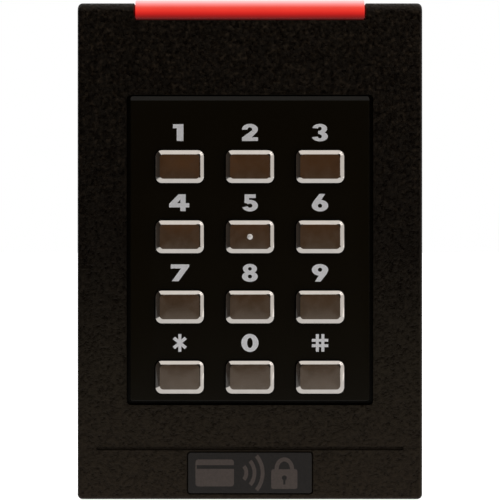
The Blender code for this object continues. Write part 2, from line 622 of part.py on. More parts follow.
def mounting_plate():
    """Screws to the wall box. The reader hangs on its two hooks and the security screw enters its tab."""
    shape = block((-PLATE_HALF_WIDTH, PLATE_HALF_WIDTH), (0, PLATE_THICK),
                  (-PLATE_HALF_HEIGHT, PLATE_HALF_HEIGHT), corner=2.0 * MM, segments=3)
    backing = add_piece("mounting_plate", shape, "cover_black")
    sink = 0.5 * MM
    hook_z = PLATE_HALF_HEIGHT - 0.2 * MM
    hook_root = [plate(HOOK_WIDTH, 2.8 * MM, 4.4 * MM, at=(x, PLATE_THICK + 0.9 * MM, hook_z - 2.0 * MM))
                 for x in (-HOOK_X, HOOK_X)]
    hook_toe = [plate(HOOK_WIDTH, 1.6 * MM, 3.2 * MM, at=(x, PLATE_THICK + 1.5 * MM, hook_z))
                for x in (-HOOK_X, HOOK_X)]
    tab = block((-TAB_HALF_WIDTH, TAB_HALF_WIDTH), (PLATE_THICK - sink, TAB_FRONT),
                (-PLATE_HALF_HEIGHT, -PLATE_HALF_HEIGHT + TAB_THICK))
    nut_walls = [block((side * 4.4 * MM - 0.7 * MM, side * 4.4 * MM + 0.7 * MM), (PLATE_THICK - sink, 7.0 * MM),
                       (-PLATE_HALF_HEIGHT + 2.0 * MM, -PLATE_HALF_HEIGHT + 5.0 * MM)) for side in (-1, 1)]
    rib_x = OPENING_HALF_WIDTH + 1.6 * MM
    ribs = [plate(1.2 * MM, 1.8 * MM, 62 * MM, at=(x, PLATE_THICK + 0.4 * MM, 0)) for x in (-rib_x, rib_x)]
    join(backing, *hook_root, tab, *ribs)
    join(backing, *hook_toe, *nut_walls)
    depths = (-PLATE_THICK, 3 * PLATE_THICK)
    openings = [block((-OPENING_HALF_WIDTH, OPENING_HALF_WIDTH), depths, limits, corner=3.0 * MM, segments=3)
                for limits in ((OPENING_NEAR, OPENING_FAR), (-OPENING_FAR, -OPENING_NEAR))]
    slots = [slot(0, sign * US_BOX_SPACING / 2, SLOT_LENGTH, SLOT_WIDTH) for sign in (-1, 1)]
    slots += [slot(sign * EU_BOX_SPACING / 2, 0, SLOT_WIDTH, SLOT_LENGTH) for sign in (-1, 1)]
    cut(backing, *openings, *slots)
    cut(backing, pillar(SECURITY_SHANK + FIT, (-HEIGHT / 2, -50 * MM), y=SCREW_Y))
    return backing


def captive_nut():
    """Sits on the plate's tab between two walls that stop it turning; two of its flats face front and back."""
    thick = 2.4 * MM
    bottom = -PLATE_HALF_HEIGHT + TAB_THICK + FIT
    shape = pillar(NUT_ACROSS_FLATS / math.sqrt(3), (0, thick), sides=6)
    bmesh.ops.rotate(shape, matrix=Matrix.Rotation(math.radians(30), 3, "Z"), verts=shape.verts)
    nut = add_piece("captive_nut", shape, "nickel_steel", at=(0, -SCREW_Y, bottom))
    cut(nut, pillar(SECURITY_SHANK + FIT, (-thick, 2 * thick)))
    return nut


def security_screw():
    """Comes up through the bottom wall. Its six-sided socket has a pin, so that a plain key won't turn it."""
    head_thick = 1.0 * MM
    length = 8.3 * MM
    screw = add_piece("security_screw", pillar(SECURITY_HEAD, (0, head_thick), sides=24), "nickel_steel",
                      at=(0, -SCREW_Y, -HEIGHT / 2 + 0.1 * MM))
    join(screw, pillar(SECURITY_SHANK, (head_thick / 2, length), sides=16))
    cut(screw, pillar(1.3 * MM, (-head_thick, 0.7 * MM), sides=6))
    join(screw, pillar(0.4 * MM, (0.1 * MM, head_thick), sides=8))
    return screw


clear_scene()
PIECES = make_collection("keypad_access_reader")
HELPERS = make_collection("cutters")
MATERIALS = {name: make_material(name) for name in FINISHES}
READER = bpy.data.objects.new("reader", None)
PIECES.objects.link(READER)

front_housing()
keypad_bezel()
keys()
keypad_mat()
keypad_board()
light_bar()
badge_plate()
main_board()
antenna_coil()
board_parts()
rear_cover()
cover_screws()
terminal_block()
terminal_screws()
tamper_sensor()
mounting_plate()
captive_nut()
security_screw()
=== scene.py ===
# %% [markdown]
# # A wall reader with a metal keypad
# The reader is a black moulded box that hides a wall box. A red light pipe runs over its top edge, twelve
# plated keys stand in a smooth panel, and a plate behind holds it to the wall. The CAD frame gives every
# place, so the first cell loads it and keeps its size.

# %% The frame
import math

import bmesh
import bpy
from mathutils import Matrix, Vector


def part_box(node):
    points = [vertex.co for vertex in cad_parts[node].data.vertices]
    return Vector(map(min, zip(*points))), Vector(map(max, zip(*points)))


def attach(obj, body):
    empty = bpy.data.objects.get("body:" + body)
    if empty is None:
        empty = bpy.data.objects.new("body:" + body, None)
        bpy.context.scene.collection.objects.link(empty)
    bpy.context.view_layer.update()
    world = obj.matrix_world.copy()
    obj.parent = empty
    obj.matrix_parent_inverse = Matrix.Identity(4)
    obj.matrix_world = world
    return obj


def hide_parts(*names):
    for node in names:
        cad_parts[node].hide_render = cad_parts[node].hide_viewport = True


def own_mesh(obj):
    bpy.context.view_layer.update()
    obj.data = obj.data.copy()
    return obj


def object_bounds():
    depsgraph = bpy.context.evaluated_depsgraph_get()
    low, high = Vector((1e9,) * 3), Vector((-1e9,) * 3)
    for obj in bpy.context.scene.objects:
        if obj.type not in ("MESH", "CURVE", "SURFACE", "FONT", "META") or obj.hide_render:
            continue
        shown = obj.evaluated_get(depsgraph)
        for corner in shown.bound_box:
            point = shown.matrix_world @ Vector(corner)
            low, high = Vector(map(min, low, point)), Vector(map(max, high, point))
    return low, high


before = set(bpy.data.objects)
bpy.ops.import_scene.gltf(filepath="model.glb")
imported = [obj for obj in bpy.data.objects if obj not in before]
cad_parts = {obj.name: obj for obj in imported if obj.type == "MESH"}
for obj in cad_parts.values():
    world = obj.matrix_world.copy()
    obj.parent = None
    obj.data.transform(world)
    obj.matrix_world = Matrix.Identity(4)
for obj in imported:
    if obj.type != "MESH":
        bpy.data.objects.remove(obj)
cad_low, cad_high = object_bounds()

MM = 0.001
print("The CAD frame measures", [round(side / MM, 1) for side in cad_high - cad_low], "mm")

# %% [markdown]
# ## The stage
# A product like this is lit in a tent: white sides, white floor, and a dark gap where the camera looks in.
# The polished bevels of the keys mirror the white sides, while the faces mirror the dark gap. A long lens
# keeps the sides out of view. The colours are shown as they are, without a film curve, so that white stays
# white.

# %% The camera
scene = bpy.context.scene
scene.view_settings.view_transform = "Standard"
VIEW_WIDTH = 122.1 * MM
CAMERA_DISTANCE = 0.7
AIM = Vector((0.02 * MM, 0, 0.24 * MM))
front_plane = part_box("front_housing")[0].y
lens = bpy.data.cameras.new("long_lens")
lens.sensor_width = 36
lens.lens = lens.sensor_width * CAMERA_DISTANCE / VIEW_WIDTH
camera = bpy.data.objects.new("camera", lens)
camera.location = (AIM.x, front_plane - CAMERA_DISTANCE, AIM.z)
camera.rotation_euler = (math.radians(90), 0, 0)
scene.collection.objects.link(camera)
scene.camera = camera
print("The lens is", round(lens.lens), "mm long")

# %% [markdown]
# Materials here are small node trees. These helpers add a node, a colour ramp, a change of range, a blend,
# the coordinates of a point, and a choice between what the camera sees and what reflections see.

# %% Node helpers
def new_material(name, colour, roughness=0.5, metallic=0.0, **sockets):
    """A Principled material; further sockets are given by name, with _ for each space."""
    material = bpy.data.materials.new(name)
    material.use_nodes = True
    shader = material.node_tree.nodes["Principled BSDF"]
    shader.inputs["Base Color"].default_value = (*colour, 1.0)
    shader.inputs["Roughness"].default_value = roughness
    shader.inputs["Metallic"].default_value = metallic
    for socket, value in sockets.items():
        shader.inputs[socket.replace("_", " ")].default_value = value
    return material


def add(tree, kind, **settings):
    """A new node. Settings named after inputs fill them, and the others are the node's own."""
    made = tree.nodes.new(kind)
    for name, value in settings.items():
        label = name.replace("_", " ")
        if label in made.inputs:
            made.inputs[label].default_value = value
        else:
            setattr(made, name, value)
    return made


def ramp(tree, source, *stops):
    """A colour ramp over a number, with (position, colour) stops in order."""
    made = add(tree, "ShaderNodeValToRGB")
    elements = made.color_ramp.elements
    elements[0].position, elements[0].color = stops[0]
    elements[1].position, elements[1].color = stops[-1]
    for position, colour in stops[1:-1]:
        elements.new(position).color = colour
    tree.links.new(source, made.inputs["Fac"])
    return made.outputs["Color"]


def span(tree, source, low, high, bottom=0.0, top=1.0):
    """Changes the range of a number, from low..high to bottom..top."""
    change = add(tree, "ShaderNodeMapRange")
    for label, value in (("From Min", low), ("From Max", high), ("To Min", bottom), ("To Max", top)):
        change.inputs[label].default_value = value
    tree.links.new(source, change.inputs["Value"])
    return change.outputs["Result"]


def blend_colours(tree, share, first, second, kind="MIX"):
    """Goes from the first colour to the second by a share, or combines them in another way."""
    mix = add(tree, "ShaderNodeMix", data_type="RGBA", blend_type=kind)
    for socket, value in (("Factor", share), ("A", first), ("B", second)):
        if isinstance(value, (float, tuple)):
            mix.inputs[socket].default_value = value
        else:
            tree.links.new(value, mix.inputs[socket])
    return mix.outputs["Result"]


def grey(value):
    return (value, value, value, 1.0)


def position(tree, kind="Object"):
    """Where a shaded point is: its coordinates whole, then as separate axes."""
    place = add(tree, "ShaderNodeTexCoord").outputs[kind]
    axes = add(tree, "ShaderNodeSeparateXYZ")
    tree.links.new(place, axes.inputs[0])
    return place, axes.outputs


def by_viewer(tree, in_reflections, by_camera):
    """Shows the camera one shader, and gives lighting and reflections the other."""
    choice = add(tree, "ShaderNodeMixShader")
    tree.links.new(add(tree, "ShaderNodeLightPath").outputs["Is Camera Ray"], choice.inputs["Fac"])
    tree.links.new(in_reflections, choice.inputs[1])
    tree.links.new(by_camera, choice.inputs[2])
    return choice.outputs[0]


# %% [markdown]
# The floor is one large sheet at the reader's lowest point. The camera sees white paper that glows a little,
# so it stays white out to the horizon. Reflections see it bright in front of the reader, where it fills the
# lower bevels with light, and dim behind it and far to the left, where the left bevels would mirror it. It
# stops a hand's span in front, because a floor that went on would show in the key faces.

# %% The floor
FLOOR_REACH = 30.0
FLOOR_FRONT = 0.22
FLOOR_BRIGHT = 0.85
FLOOR_DIM = 0.12
FLOOR_FADE = 0.15
FLOOR_LEFT = (-0.24, -0.12)
LEFT_SHARE = 0.12
READER_Y = FLOOR_FRONT - FLOOR_REACH
floor_mesh = bpy.data.meshes.new("floor")
floor_shape = bmesh.new()
bmesh.ops.create_grid(floor_shape, x_segments=1, y_segments=1, size=FLOOR_REACH)
floor_shape.to_mesh(floor_mesh)
floor_shape.free()
floor = bpy.data.objects.new("floor", floor_mesh)
floor.location = (0, -READER_Y, cad_low.z)
paper = new_material("white_paper", grey(0.8)[:3], 0.9, Emission_Color=grey(1), Emission_Strength=0.92)
paper_tree = paper.node_tree
_, paper_axes = position(paper_tree)
behind = span(paper_tree, paper_axes["Y"], READER_Y, READER_Y + FLOOR_FADE)
front_glow = ramp(paper_tree, behind, (0.0, grey(FLOOR_BRIGHT)), (1.0, grey(FLOOR_DIM)))
far_left = ramp(paper_tree, span(paper_tree, paper_axes["X"], *FLOOR_LEFT), (0.0, grey(LEFT_SHARE)),
                (1.0, grey(1)))
paper_glow = add(paper_tree, "ShaderNodeEmission")
glow_colour = blend_colours(paper_tree, 1.0, front_glow, far_left, "MULTIPLY")
paper_tree.links.new(glow_colour, paper_glow.inputs["Color"])
paper_seen = by_viewer(paper_tree, paper_glow.outputs[0], paper_tree.nodes["Principled BSDF"].outputs[0])
paper_tree.links.new(paper_seen, paper_tree.nodes["Material Output"].inputs["Surface"])
floor_mesh.materials.append(paper)
scene.collection.objects.link(floor)

# %% [markdown]
# The surroundings are white where the camera sees them directly. What lights the reader and shows in its
# reflections is pale behind it and dark in front, a little lighter on the left, with a dim brown patch
# straight ahead that is greyer and lighter below. The key faces mirror that patch, so a little noise in it
# makes each face slightly different.

# %% The surroundings
FRONT_DARK = (0.017, 0.015, 0.0125, 1.0)
LEFT_DARK = (0.042, 0.034, 0.028, 1.0)
BEHIND = grey(0.9)
PATCH_ABOVE = (0.075, 0.036, 0.016, 1.0)
PATCH_LEVEL = (0.063, 0.044, 0.029, 1.0)
PATCH_BELOW = (0.165, 0.138, 0.115, 1.0)
PATCH_HEIGHTS = (-0.075, 0.045)
PATCH_EDGE = (-0.995, -0.93)
LEFT_EDGE = (-0.9, -0.4)
BEHIND_EDGE = (-0.1, 0.14)
world = bpy.data.worlds.new("tent")
world.use_nodes = True
scene.world = world
sky = world.node_tree
sky.nodes.clear()
outward, axes = position(sky, "Generated")
cloud = add(sky, "ShaderNodeTexNoise", Scale=22.0, Detail=1.0)
sky.links.new(outward, cloud.inputs["Vector"])
patch = ramp(sky, span(sky, axes["Z"], *PATCH_HEIGHTS), (0.0, PATCH_BELOW), (0.2, PATCH_BELOW),
             (0.42, PATCH_LEVEL), (0.9, PATCH_ABOVE))
clouds = ramp(sky, cloud.outputs["Fac"], (0.25, (0.5, 0.5, 0.55, 1)), (0.75, (1.5, 1.5, 1.45, 1)))
patch = blend_colours(sky, 1.0, patch, clouds, "MULTIPLY")
front = ramp(sky, span(sky, axes["X"], *LEFT_EDGE), (0.0, LEFT_DARK), (1.0, FRONT_DARK))
around = blend_colours(sky, span(sky, axes["Y"], *BEHIND_EDGE), front, BEHIND)
ahead = ramp(sky, span(sky, axes["Y"], *PATCH_EDGE), (0.0, grey(1)), (1.0, grey(0)))
tent = add(sky, "ShaderNodeBackground")
sky.links.new(blend_colours(sky, ahead, around, patch), tent.inputs["Color"])
seen = add(sky, "ShaderNodeBackground", Color=grey(1))
sky.links.new(by_viewer(sky, tent.outputs[0], seen.outputs[0]),
              add(sky, "ShaderNodeOutputWorld").inputs["Surface"])

# %% [markdown]
# Soft boxes light the front from above, from the right and from the corner between. The left has none and is
# only a little lighter than the front, so the keys' left bevels stay dark. Each box is hidden from the
# camera.

# %% The soft boxes
SOFT_WHITE = (1.0, 0.97, 0.94)


def soft_box(name, towards, distance, size, radiance):
    """A light that faces the reader; its power follows from how bright its face should look."""
    light = bpy.data.lights.new(name, "AREA")
    light.shape = "RECTANGLE"
    light.size, light.size_y = size
    light.energy = radiance * math.pi * size[0] * size[1]
    light.color = SOFT_WHITE
    lamp = bpy.data.objects.new(name, light)
    line = Vector(towards).normalized()
    lamp.location = line * distance
    lamp.rotation_mode = "QUATERNION"
    lamp.rotation_quaternion = line.to_track_quat("Z", "Y")
    lamp.visible_camera = False
    scene.collection.objects.link(lamp)


soft_box("box_above", (0.1, -0.42, 0.9), 0.55, (0.8, 0.55), 1.0)
soft_box("box_right", (0.9, -0.42, 0.05), 0.55, (0.5, 0.6), 0.8)
soft_box("box_corner", (0.7, -0.45, 0.62), 0.6, (0.3, 0.3), 0.9)

# %% [markdown]
# ## Tools for the pieces
# Most mouldings here are rounded rectangles stacked from back to front. So one helper draws a rounded
# rectangle, and another skins a stack of them. An edge that rounds over is a few such rectangles along an
# arc. This gives an even, smooth fillet with no modifier. Holes are then cut with Booleans, and a narrow
# bevel softens what the cuts leave sharp, as a real mould does.

# %% Rounded rectangles
CORNER_STEPS = 8


def rounded_rectangle(half_width, half_height, radius, steps=CORNER_STEPS):
    """Points round the outline in x and z, anticlockwise from the right."""
    points = []
    for quarter, (across, up) in enumerate(((1, 1), (-1, 1), (-1, -1), (1, -1))):
        centre = (across * (half_width - radius), up * (half_height - radius))
        for step in range(steps + 1):
            angle = math.radians(90) * (quarter + step / steps)
            points.append((centre[0] + radius * math.cos(angle), centre[1] + radius * math.sin(angle)))
    return points


def join_rings(shape, rings, ends=True):
    """Faces from each ring of points to the next, and over both ends."""
    for ring, following in zip(rings, rings[1:]):
        for near in range(len(ring)):
            far = (near + 1) % len(ring)
            shape.faces.new((ring[near], ring[far], following[far], following[near]))
    if ends:
        shape.faces.new(rings[0])
        shape.faces.new(rings[-1])
    bmesh.ops.recalc_face_normals(shape, faces=shape.faces)
    return shape


def skin(sections, middle=(0.0, 0.0), steps=CORNER_STEPS):
    """A closed shape through (half width, half height, radius, depth) sections, from back to front.

    A fifth number in a section lowers its middle.
    """
    shape = bmesh.new()
    rings = []
    for half_width, half_height, radius, depth, *lowered in sections:
        outline = rounded_rectangle(half_width, half_height, radius, steps)
        height = middle[1] - sum(lowered)
        rings.append([shape.verts.new((middle[0] + x, -depth, height + z)) for x, z in outline])
    return join_rings(shape, rings)


LEAST = 0.05 * MM


def rounded_over(half_width, half_height, corner, front, radius, steps=6):
    """Sections that turn the side into the front over an arc."""
    sections = []
    for step in range(steps + 1):
        angle = math.radians(90) * step / steps
        inset = radius * (1 - math.cos(angle))
        sections.append((half_width - inset, half_height - inset, max(corner - inset, LEAST),
                         front - radius * (1 - math.sin(angle))))
    flat = radius + LEAST
    sections.append((half_width - flat, half_height - flat, max(corner - flat, LEAST), front))
    return sections


def slab(half_width, half_height, corner, back, front, middle=(0.0, 0.0), steps=CORNER_STEPS):
    """A plain rounded block between two depths."""
    return skin([(half_width, half_height, corner, back), (half_width, half_height, corner, front)],
                middle, steps)


# %% [markdown]
# A piece is an object in the frame's own place, so its mesh holds positions in the reader and its textures
# keep their scale in metres. It rides on a body of the CAD model.

# %% Making and cutting pieces
SHARP = 30
SOFT_STEPS = 2
SOFTEN_FROM = 35


def smooth(mesh, sharp=SHARP):
    mesh.shade_smooth()
    mesh.set_sharp_from_angle(angle=math.radians(sharp))


def make_piece(name, shape, material, body="reader", instead_of=(), slot=None, sharp=SHARP):
    """Turns a shape into a piece of the reader that rides on a body and may stand for CAD nodes."""
    mesh = bpy.data.meshes.new(name)
    shape.to_mesh(mesh)
    shape.free()
    smooth(mesh, sharp)
    mesh.materials.append(material)
    piece = bpy.data.objects.new(name, mesh)
    scene.collection.objects.link(piece)
    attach(piece, body)
    if instead_of:
        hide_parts(*instead_of)
    # The frame has materials of the same names, so Blender adds a number to the new ones.
    return piece


def settle(piece):
    """Fixes the result of the piece's modifiers as its mesh."""
    bpy.context.view_layer.update()
    evaluated = piece.evaluated_get(bpy.context.evaluated_depsgraph_get())
    mesh = bpy.data.meshes.new_from_object(evaluated)
    piece.modifiers.clear()
    piece.data = mesh
    smooth(mesh)


def carve(piece, *shapes, operation="DIFFERENCE"):
    """Cuts each shape from the piece, or joins it on with UNION."""
    for shape in shapes:
        tool_mesh = bpy.data.meshes.new("tool")
        shape.to_mesh(tool_mesh)
        shape.free()
        tool = bpy.data.objects.new("tool", tool_mesh)
        scene.collection.objects.link(tool)
        change = piece.modifiers.new("carve", "BOOLEAN")
        change.operation = operation
        change.object = tool
        settle(piece)
        bpy.data.objects.remove(tool)


def soften(piece, width):
    """Rounds what is still sharp, and keeps the flats flat."""
    edge = piece.modifiers.new("soften", "BEVEL")
    edge.width = width
    edge.segments = SOFT_STEPS
    edge.limit_method = "ANGLE"
    edge.angle_limit = math.radians(SOFTEN_FROM)
    edge.harden_normals = True


# %% [markdown]
# Screws, domes and round parts are turned: a profile of radii and heights, swept once round an axis. The
# profile starts and ends on the axis, or where it began, so the solid is closed.

# %% Turning
def facing(x, depth, z):
    """The place of a turned part whose axis points to the front."""
    return Matrix.Translation((x, -depth, z)) @ Matrix.Rotation(math.radians(90), 4, "X")


def upright(x, depth, z):
    """The place of a turned part whose axis points up."""
    return Matrix.Translation((x, -depth, z))


def lathe(profile, place, sides=32):
    """A solid of revolution through (radius, height) points."""
    shape = bmesh.new()
    rings = []
    for radius, height in profile:
        turns = [2 * math.pi * side / sides for side in range(sides)] if radius > 1e-7 else [0.0]
        rings.append([shape.verts.new((radius * math.cos(a), radius * math.sin(a), height)) for a in turns])
    for low, high in zip(rings, rings[1:]):
        for near in range(sides):
            far = (near + 1) % sides
            corners = [low[near % len(low)], low[far % len(low)],
                       high[far % len(high)], high[near % len(high)]]
            unique = list(dict.fromkeys(corners))
            if len(unique) > 2:
                shape.faces.new(unique)
    bmesh.ops.remove_doubles(shape, verts=shape.verts, dist=1e-7)
    bmesh.ops.transform(shape, matrix=place, verts=shape.verts)
    bmesh.ops.recalc_face_normals(shape, faces=shape.faces)
    return shape


def rod(radius, low, high, place, sides=32):
    """A plain cylinder."""
    return lathe([(0, low), (radius, low), (radius, high), (0, high)], place, sides)


# %% [markdown]
# ## Finishes
# Every finish starts from the same idea: a base colour, a grain that shifts that colour and the gloss a
# little, and the same grain as relief. Object coordinates are in metres here, so a scale of 3000 means grains
# of about a third of a millimetre.

# %% Grain
NOISE_RANGE = (0.3, 0.7)


def grain(material, scale, relief, spread=0.0, gloss=0.0, detail=3.0, stretch=(1, 1, 1)):
    """Noise as relief of a depth in metres, as a share of the colour and as a change in roughness."""
    tree = material.node_tree
    shader = tree.nodes["Principled BSDF"]
    turn = add(tree, "ShaderNodeMapping", Scale=stretch)
    noise = add(tree, "ShaderNodeTexNoise", Scale=scale, Detail=detail, Roughness=0.6)
    tree.links.new(position(tree)[0], turn.inputs["Vector"])
    tree.links.new(turn.outputs["Vector"], noise.inputs["Vector"])
    if relief:
        bump = add(tree, "ShaderNodeBump", Strength=1.0, Distance=relief)
        tree.links.new(noise.outputs["Fac"], bump.inputs["Height"])
        tree.links.new(bump.outputs["Normal"], shader.inputs["Normal"])
    if spread:
        colour = Vector(shader.inputs["Base Color"].default_value[:3])
        shades = ramp(tree, noise.outputs["Fac"], (NOISE_RANGE[0], (*(colour * (1 - spread)), 1)),
                      (NOISE_RANGE[1], (*(colour * (1 + spread)), 1)))
        tree.links.new(shades, shader.inputs["Base Color"])
    if gloss:
        middle = shader.inputs["Roughness"].default_value
        roughness = span(tree, noise.outputs["Fac"], *NOISE_RANGE, middle - gloss, middle + gloss)
        tree.links.new(roughness, shader.inputs["Roughness"])
    return material


# %% [markdown]
# The housing is spark-eroded black plastic: a fine grain that breaks up every highlight. Painted light rides
# on
# its base colour: painted glints as lighter flecks near the top, and painted shade and reflection over the
# height, lighter at the top, darkest across the middle and much lighter towards the bottom. The keypad panel
# is the same black, but nearly smooth.

# %% Black plastics
textured_black = grain(new_material("textured_black", (0.0052, 0.0036, 0.0022), 0.45, Specular_IOR_Level=0.16,
                                    Specular_Tint=(1.0, 0.82, 0.66, 1.0)),
                       scale=1300, relief=0.25 * MM, spread=0.55, gloss=0.2, detail=1.5)
black_tree = textured_black.node_tree
black_shader = black_tree.nodes["Principled BSDF"]
black_place, black_axes = position(black_tree)
PAINTED_LIGHT_HEIGHTS = (-60 * MM, 60 * MM)
GLINT_HEIGHTS = (-25 * MM, 25 * MM)
# Painted light: the base colour is lighter at the top, darkest across the middle and about three times
# lighter at the bottom, standing in for light and reflection from above and below.
painted_light = ramp(black_tree, span(black_tree, black_axes["Z"], *PAINTED_LIGHT_HEIGHTS),
            (0.0, (2.8, 2.95, 3.1, 1)), (0.25, (2.1, 2.35, 2.4, 1)), (0.5, grey(0.5)), (0.8, grey(0.7)),
            (1.0, grey(1.0)))
# Painted glints: lighter flecks in the base colour, fading in towards the top.
glint_noise = add(black_tree, "ShaderNodeTexNoise", Scale=1050.0, Detail=2.0)
black_tree.links.new(black_place, glint_noise.inputs["Vector"])
painted_glints = ramp(black_tree, glint_noise.outputs["Fac"], (0.45, grey(0.5)), (0.58, grey(1.6)), (0.72, grey(4.0)))
upper_half = span(black_tree, black_axes["Z"], *GLINT_HEIGHTS)
painted_glints = blend_colours(black_tree, upper_half, grey(1), painted_glints)
painted_light = blend_colours(black_tree, 1.0, painted_light, painted_glints, "MULTIPLY")
blotches = black_shader.inputs["Base Color"].links[0].from_socket
black_base = blend_colours(black_tree, 1.0, blotches, painted_light, "MULTIPLY")
black_tree.links.new(black_base, black_shader.inputs["Base Color"])
smooth_black = grain(new_material("smooth_black", (0.0045, 0.0032, 0.0009), 0.28, Specular_IOR_Level=0.14),
                     scale=5000, relief=0.002 * MM, spread=0.2, gloss=0.04)

# %% [markdown]
# ## The housing
# The shell is one moulding: an outer skin with a round-over at the front, hollow behind, with a window for
# the keypad, a notch for the light pipe, a groove and a shallow seat for the badge. I skin the outside, then
# cut.

# %% Outer shell
house_low, house_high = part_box("front_housing")
HOUSE_HALF_WIDTH = (house_high.x - house_low.x) / 2
HOUSE_HALF_HEIGHT = (house_high.z - house_low.z) / 2
HOUSE_FRONT = -house_low.y
HOUSE_BACK = -house_high.y
HOUSE_CORNER = 1.2 * MM
HOUSE_ROUND_OVER = 0.8 * MM
HOUSE_TOP_ROUND_OVER = 2.4 * MM
DRAFT = 0.25 * MM
WALL = 2.3 * MM
FIT = 0.3 * MM


def inset_over(radius, behind):
    """How far an edge of a radius has turned in, this far behind the front."""
    short = max(radius - behind, 0)
    return radius - math.sqrt(radius ** 2 - short ** 2)


def housing_sections(steps=14):
    """The drafted side, then the front edge, which turns in further at the top than elsewhere."""
    sections = [(HOUSE_HALF_WIDTH, HOUSE_HALF_HEIGHT, HOUSE_CORNER, HOUSE_BACK)]
    for step in range(steps + 1):
        behind = HOUSE_TOP_ROUND_OVER * (1 - math.sin(math.radians(90) * step / steps))
        share = (HOUSE_FRONT - behind - HOUSE_BACK) / (HOUSE_FRONT - HOUSE_BACK)
        side = inset_over(HOUSE_ROUND_OVER, behind)
        top = inset_over(HOUSE_TOP_ROUND_OVER, behind)
        sections.append((HOUSE_HALF_WIDTH - DRAFT * share - side,
                         HOUSE_HALF_HEIGHT - DRAFT * share - (side + top) / 2,
                         max(HOUSE_CORNER - side, 0.5 * MM), HOUSE_FRONT - behind, (top - side) / 2))
    half_width, half_height, corner, front, lowered = sections[-1]
    sections.append((half_width - LEAST, half_height - LEAST, corner, front, lowered))
    return sections


outside = skin(housing_sections())
housing = make_piece("housing_shell", outside, textured_black, instead_of=["front_housing"])
print("The housing is", round(2 * HOUSE_HALF_WIDTH / MM, 1), "by", round(2 * HOUSE_HALF_HEIGHT / MM, 1), "mm")

# %% Hollow, window, notch and groove
PANEL_HALF_WIDTH = 29.15 * MM
PANEL_LOW = -36.6 * MM
PANEL_HIGH = 37.8 * MM
WINDOW_HALF_WIDTH = 30.05 * MM
WINDOW_LOW = -37.6 * MM
WINDOW_HIGH = 38.1 * MM
WINDOW_CORNER = 0.9 * MM
GROOVE_Z = -48.2 * MM
GROOVE_HALF_LENGTH = 37.5 * MM
GROOVE_HALF_WIDTH = 0.45 * MM
GROOVE_DEPTH = 0.8 * MM
bar_low, bar_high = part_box("light_bar")
NOTCH_HALF_WIDTH = bar_high.x + FIT
NOTCH_BACK = 17.0 * MM
NOTCH_LOW = 56.45 * MM
badge_low, badge_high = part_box("badge_plate")

hollow = slab(HOUSE_HALF_WIDTH - DRAFT - WALL, HOUSE_HALF_HEIGHT - DRAFT - WALL, 0.6 * MM, -WALL,
              HOUSE_FRONT - WALL)
window = slab(WINDOW_HALF_WIDTH, (WINDOW_HIGH - WINDOW_LOW) / 2, WINDOW_CORNER, HOUSE_FRONT - 2 * WALL,
              HOUSE_FRONT + WALL, middle=(0, (WINDOW_HIGH + WINDOW_LOW) / 2))
notch_height = HOUSE_HALF_HEIGHT + WALL - NOTCH_LOW
notch = slab(NOTCH_HALF_WIDTH, notch_height / 2, 0.3 * MM, NOTCH_BACK, HOUSE_FRONT + WALL,
             middle=(0, NOTCH_LOW + notch_height / 2), steps=2)
groove = slab(GROOVE_HALF_LENGTH, GROOVE_HALF_WIDTH, GROOVE_HALF_WIDTH * 0.9, HOUSE_FRONT - GROOVE_DEPTH,
              HOUSE_FRONT + WALL, middle=(0, GROOVE_Z), steps=4)
badge_middle = (badge_low + badge_high) / 2
badge_half = (badge_high - badge_low) / 2
badge_seat = slab(badge_half.x + FIT, badge_half.z + FIT, 0.8 * MM, -badge_high.y - FIT,
                  HOUSE_FRONT + WALL, middle=(0, badge_middle.z), steps=4)
carve(housing, hollow, window, notch, groove, badge_seat)
soften(housing, 0.12 * MM)
print("The housing has", len(housing.data.polygons), "faces before softening")

# %% [markdown]
# ## The keypad panel
# The panel stands a little proud in the window with a thin shadow all round. Its top edge slopes back, which
# catches the light from above as one thin line. Twelve openings guide the keys.

# %% Where the keys are
KEY_NAMES = ("1", "2", "3", "4", "5", "6", "7", "8", "9", "star", "0", "hash")
key_boxes = {name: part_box(f"key_{name}") for name in KEY_NAMES}
key_middles = {name: (low + high) / 2 for name, (low, high) in key_boxes.items()}
KEY_HALF_WIDTH = 5.85 * MM
KEY_HALF_HEIGHT = 3.975 * MM
KEY_CORNER = 1.5 * MM
KEY_INNER_CORNER = 0.9 * MM
KEY_GAP = 0.3 * MM
print("The keys are", round((key_middles["2"].x - key_middles["1"].x) / MM, 1), "mm apart")

# %% Panel
PANEL_FRONT = 25.8 * MM
PANEL_FACE_BACK = 22.0 * MM
PANEL_CORNER = 0.6 * MM
PANEL_SLOPE = 1.1 * MM
PANEL_FALL = 0.75 * MM
PANEL_POCKET_HALF_WIDTH = 27.5 * MM
FLANGE_DEPTHS = (18.9 * MM, 22.2 * MM)
bezel_low, bezel_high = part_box("keypad_bezel")
panel_middle = (0, (PANEL_LOW + PANEL_HIGH) / 2)
panel_half_height = (PANEL_HIGH - PANEL_LOW) / 2
face = skin([(PANEL_HALF_WIDTH, panel_half_height, PANEL_CORNER, PANEL_FACE_BACK - 3 * MM),
             *rounded_over(PANEL_HALF_WIDTH, panel_half_height, PANEL_CORNER, PANEL_FRONT, 0.2 * MM, 3)],
            panel_middle)
for turn in (0.35, 1.0):
    start = Vector((0, -PANEL_FRONT, PANEL_HIGH - PANEL_SLOPE * (1.1 - 0.1 * turn)))
    away = Vector((0, -PANEL_SLOPE, PANEL_FALL * turn))
    cut_off = bmesh.ops.bisect_plane(face, geom=face.verts[:] + face.edges[:] + face.faces[:], plane_co=start,
                                     plane_no=away, clear_outer=True)
    rim = [edge for edge in cut_off["geom_cut"] if isinstance(edge, bmesh.types.BMEdge)]
    bmesh.ops.holes_fill(face, edges=rim)
panel = make_piece("keypad_panel", face, smooth_black, instead_of=["keypad_bezel"])
flange_half = (bezel_high - bezel_low) / 2
flange = slab(flange_half.x, flange_half.z, 2 * MM, *FLANGE_DEPTHS,
              middle=(0, (bezel_low.z + bezel_high.z) / 2))
carve(panel, flange, operation="UNION")
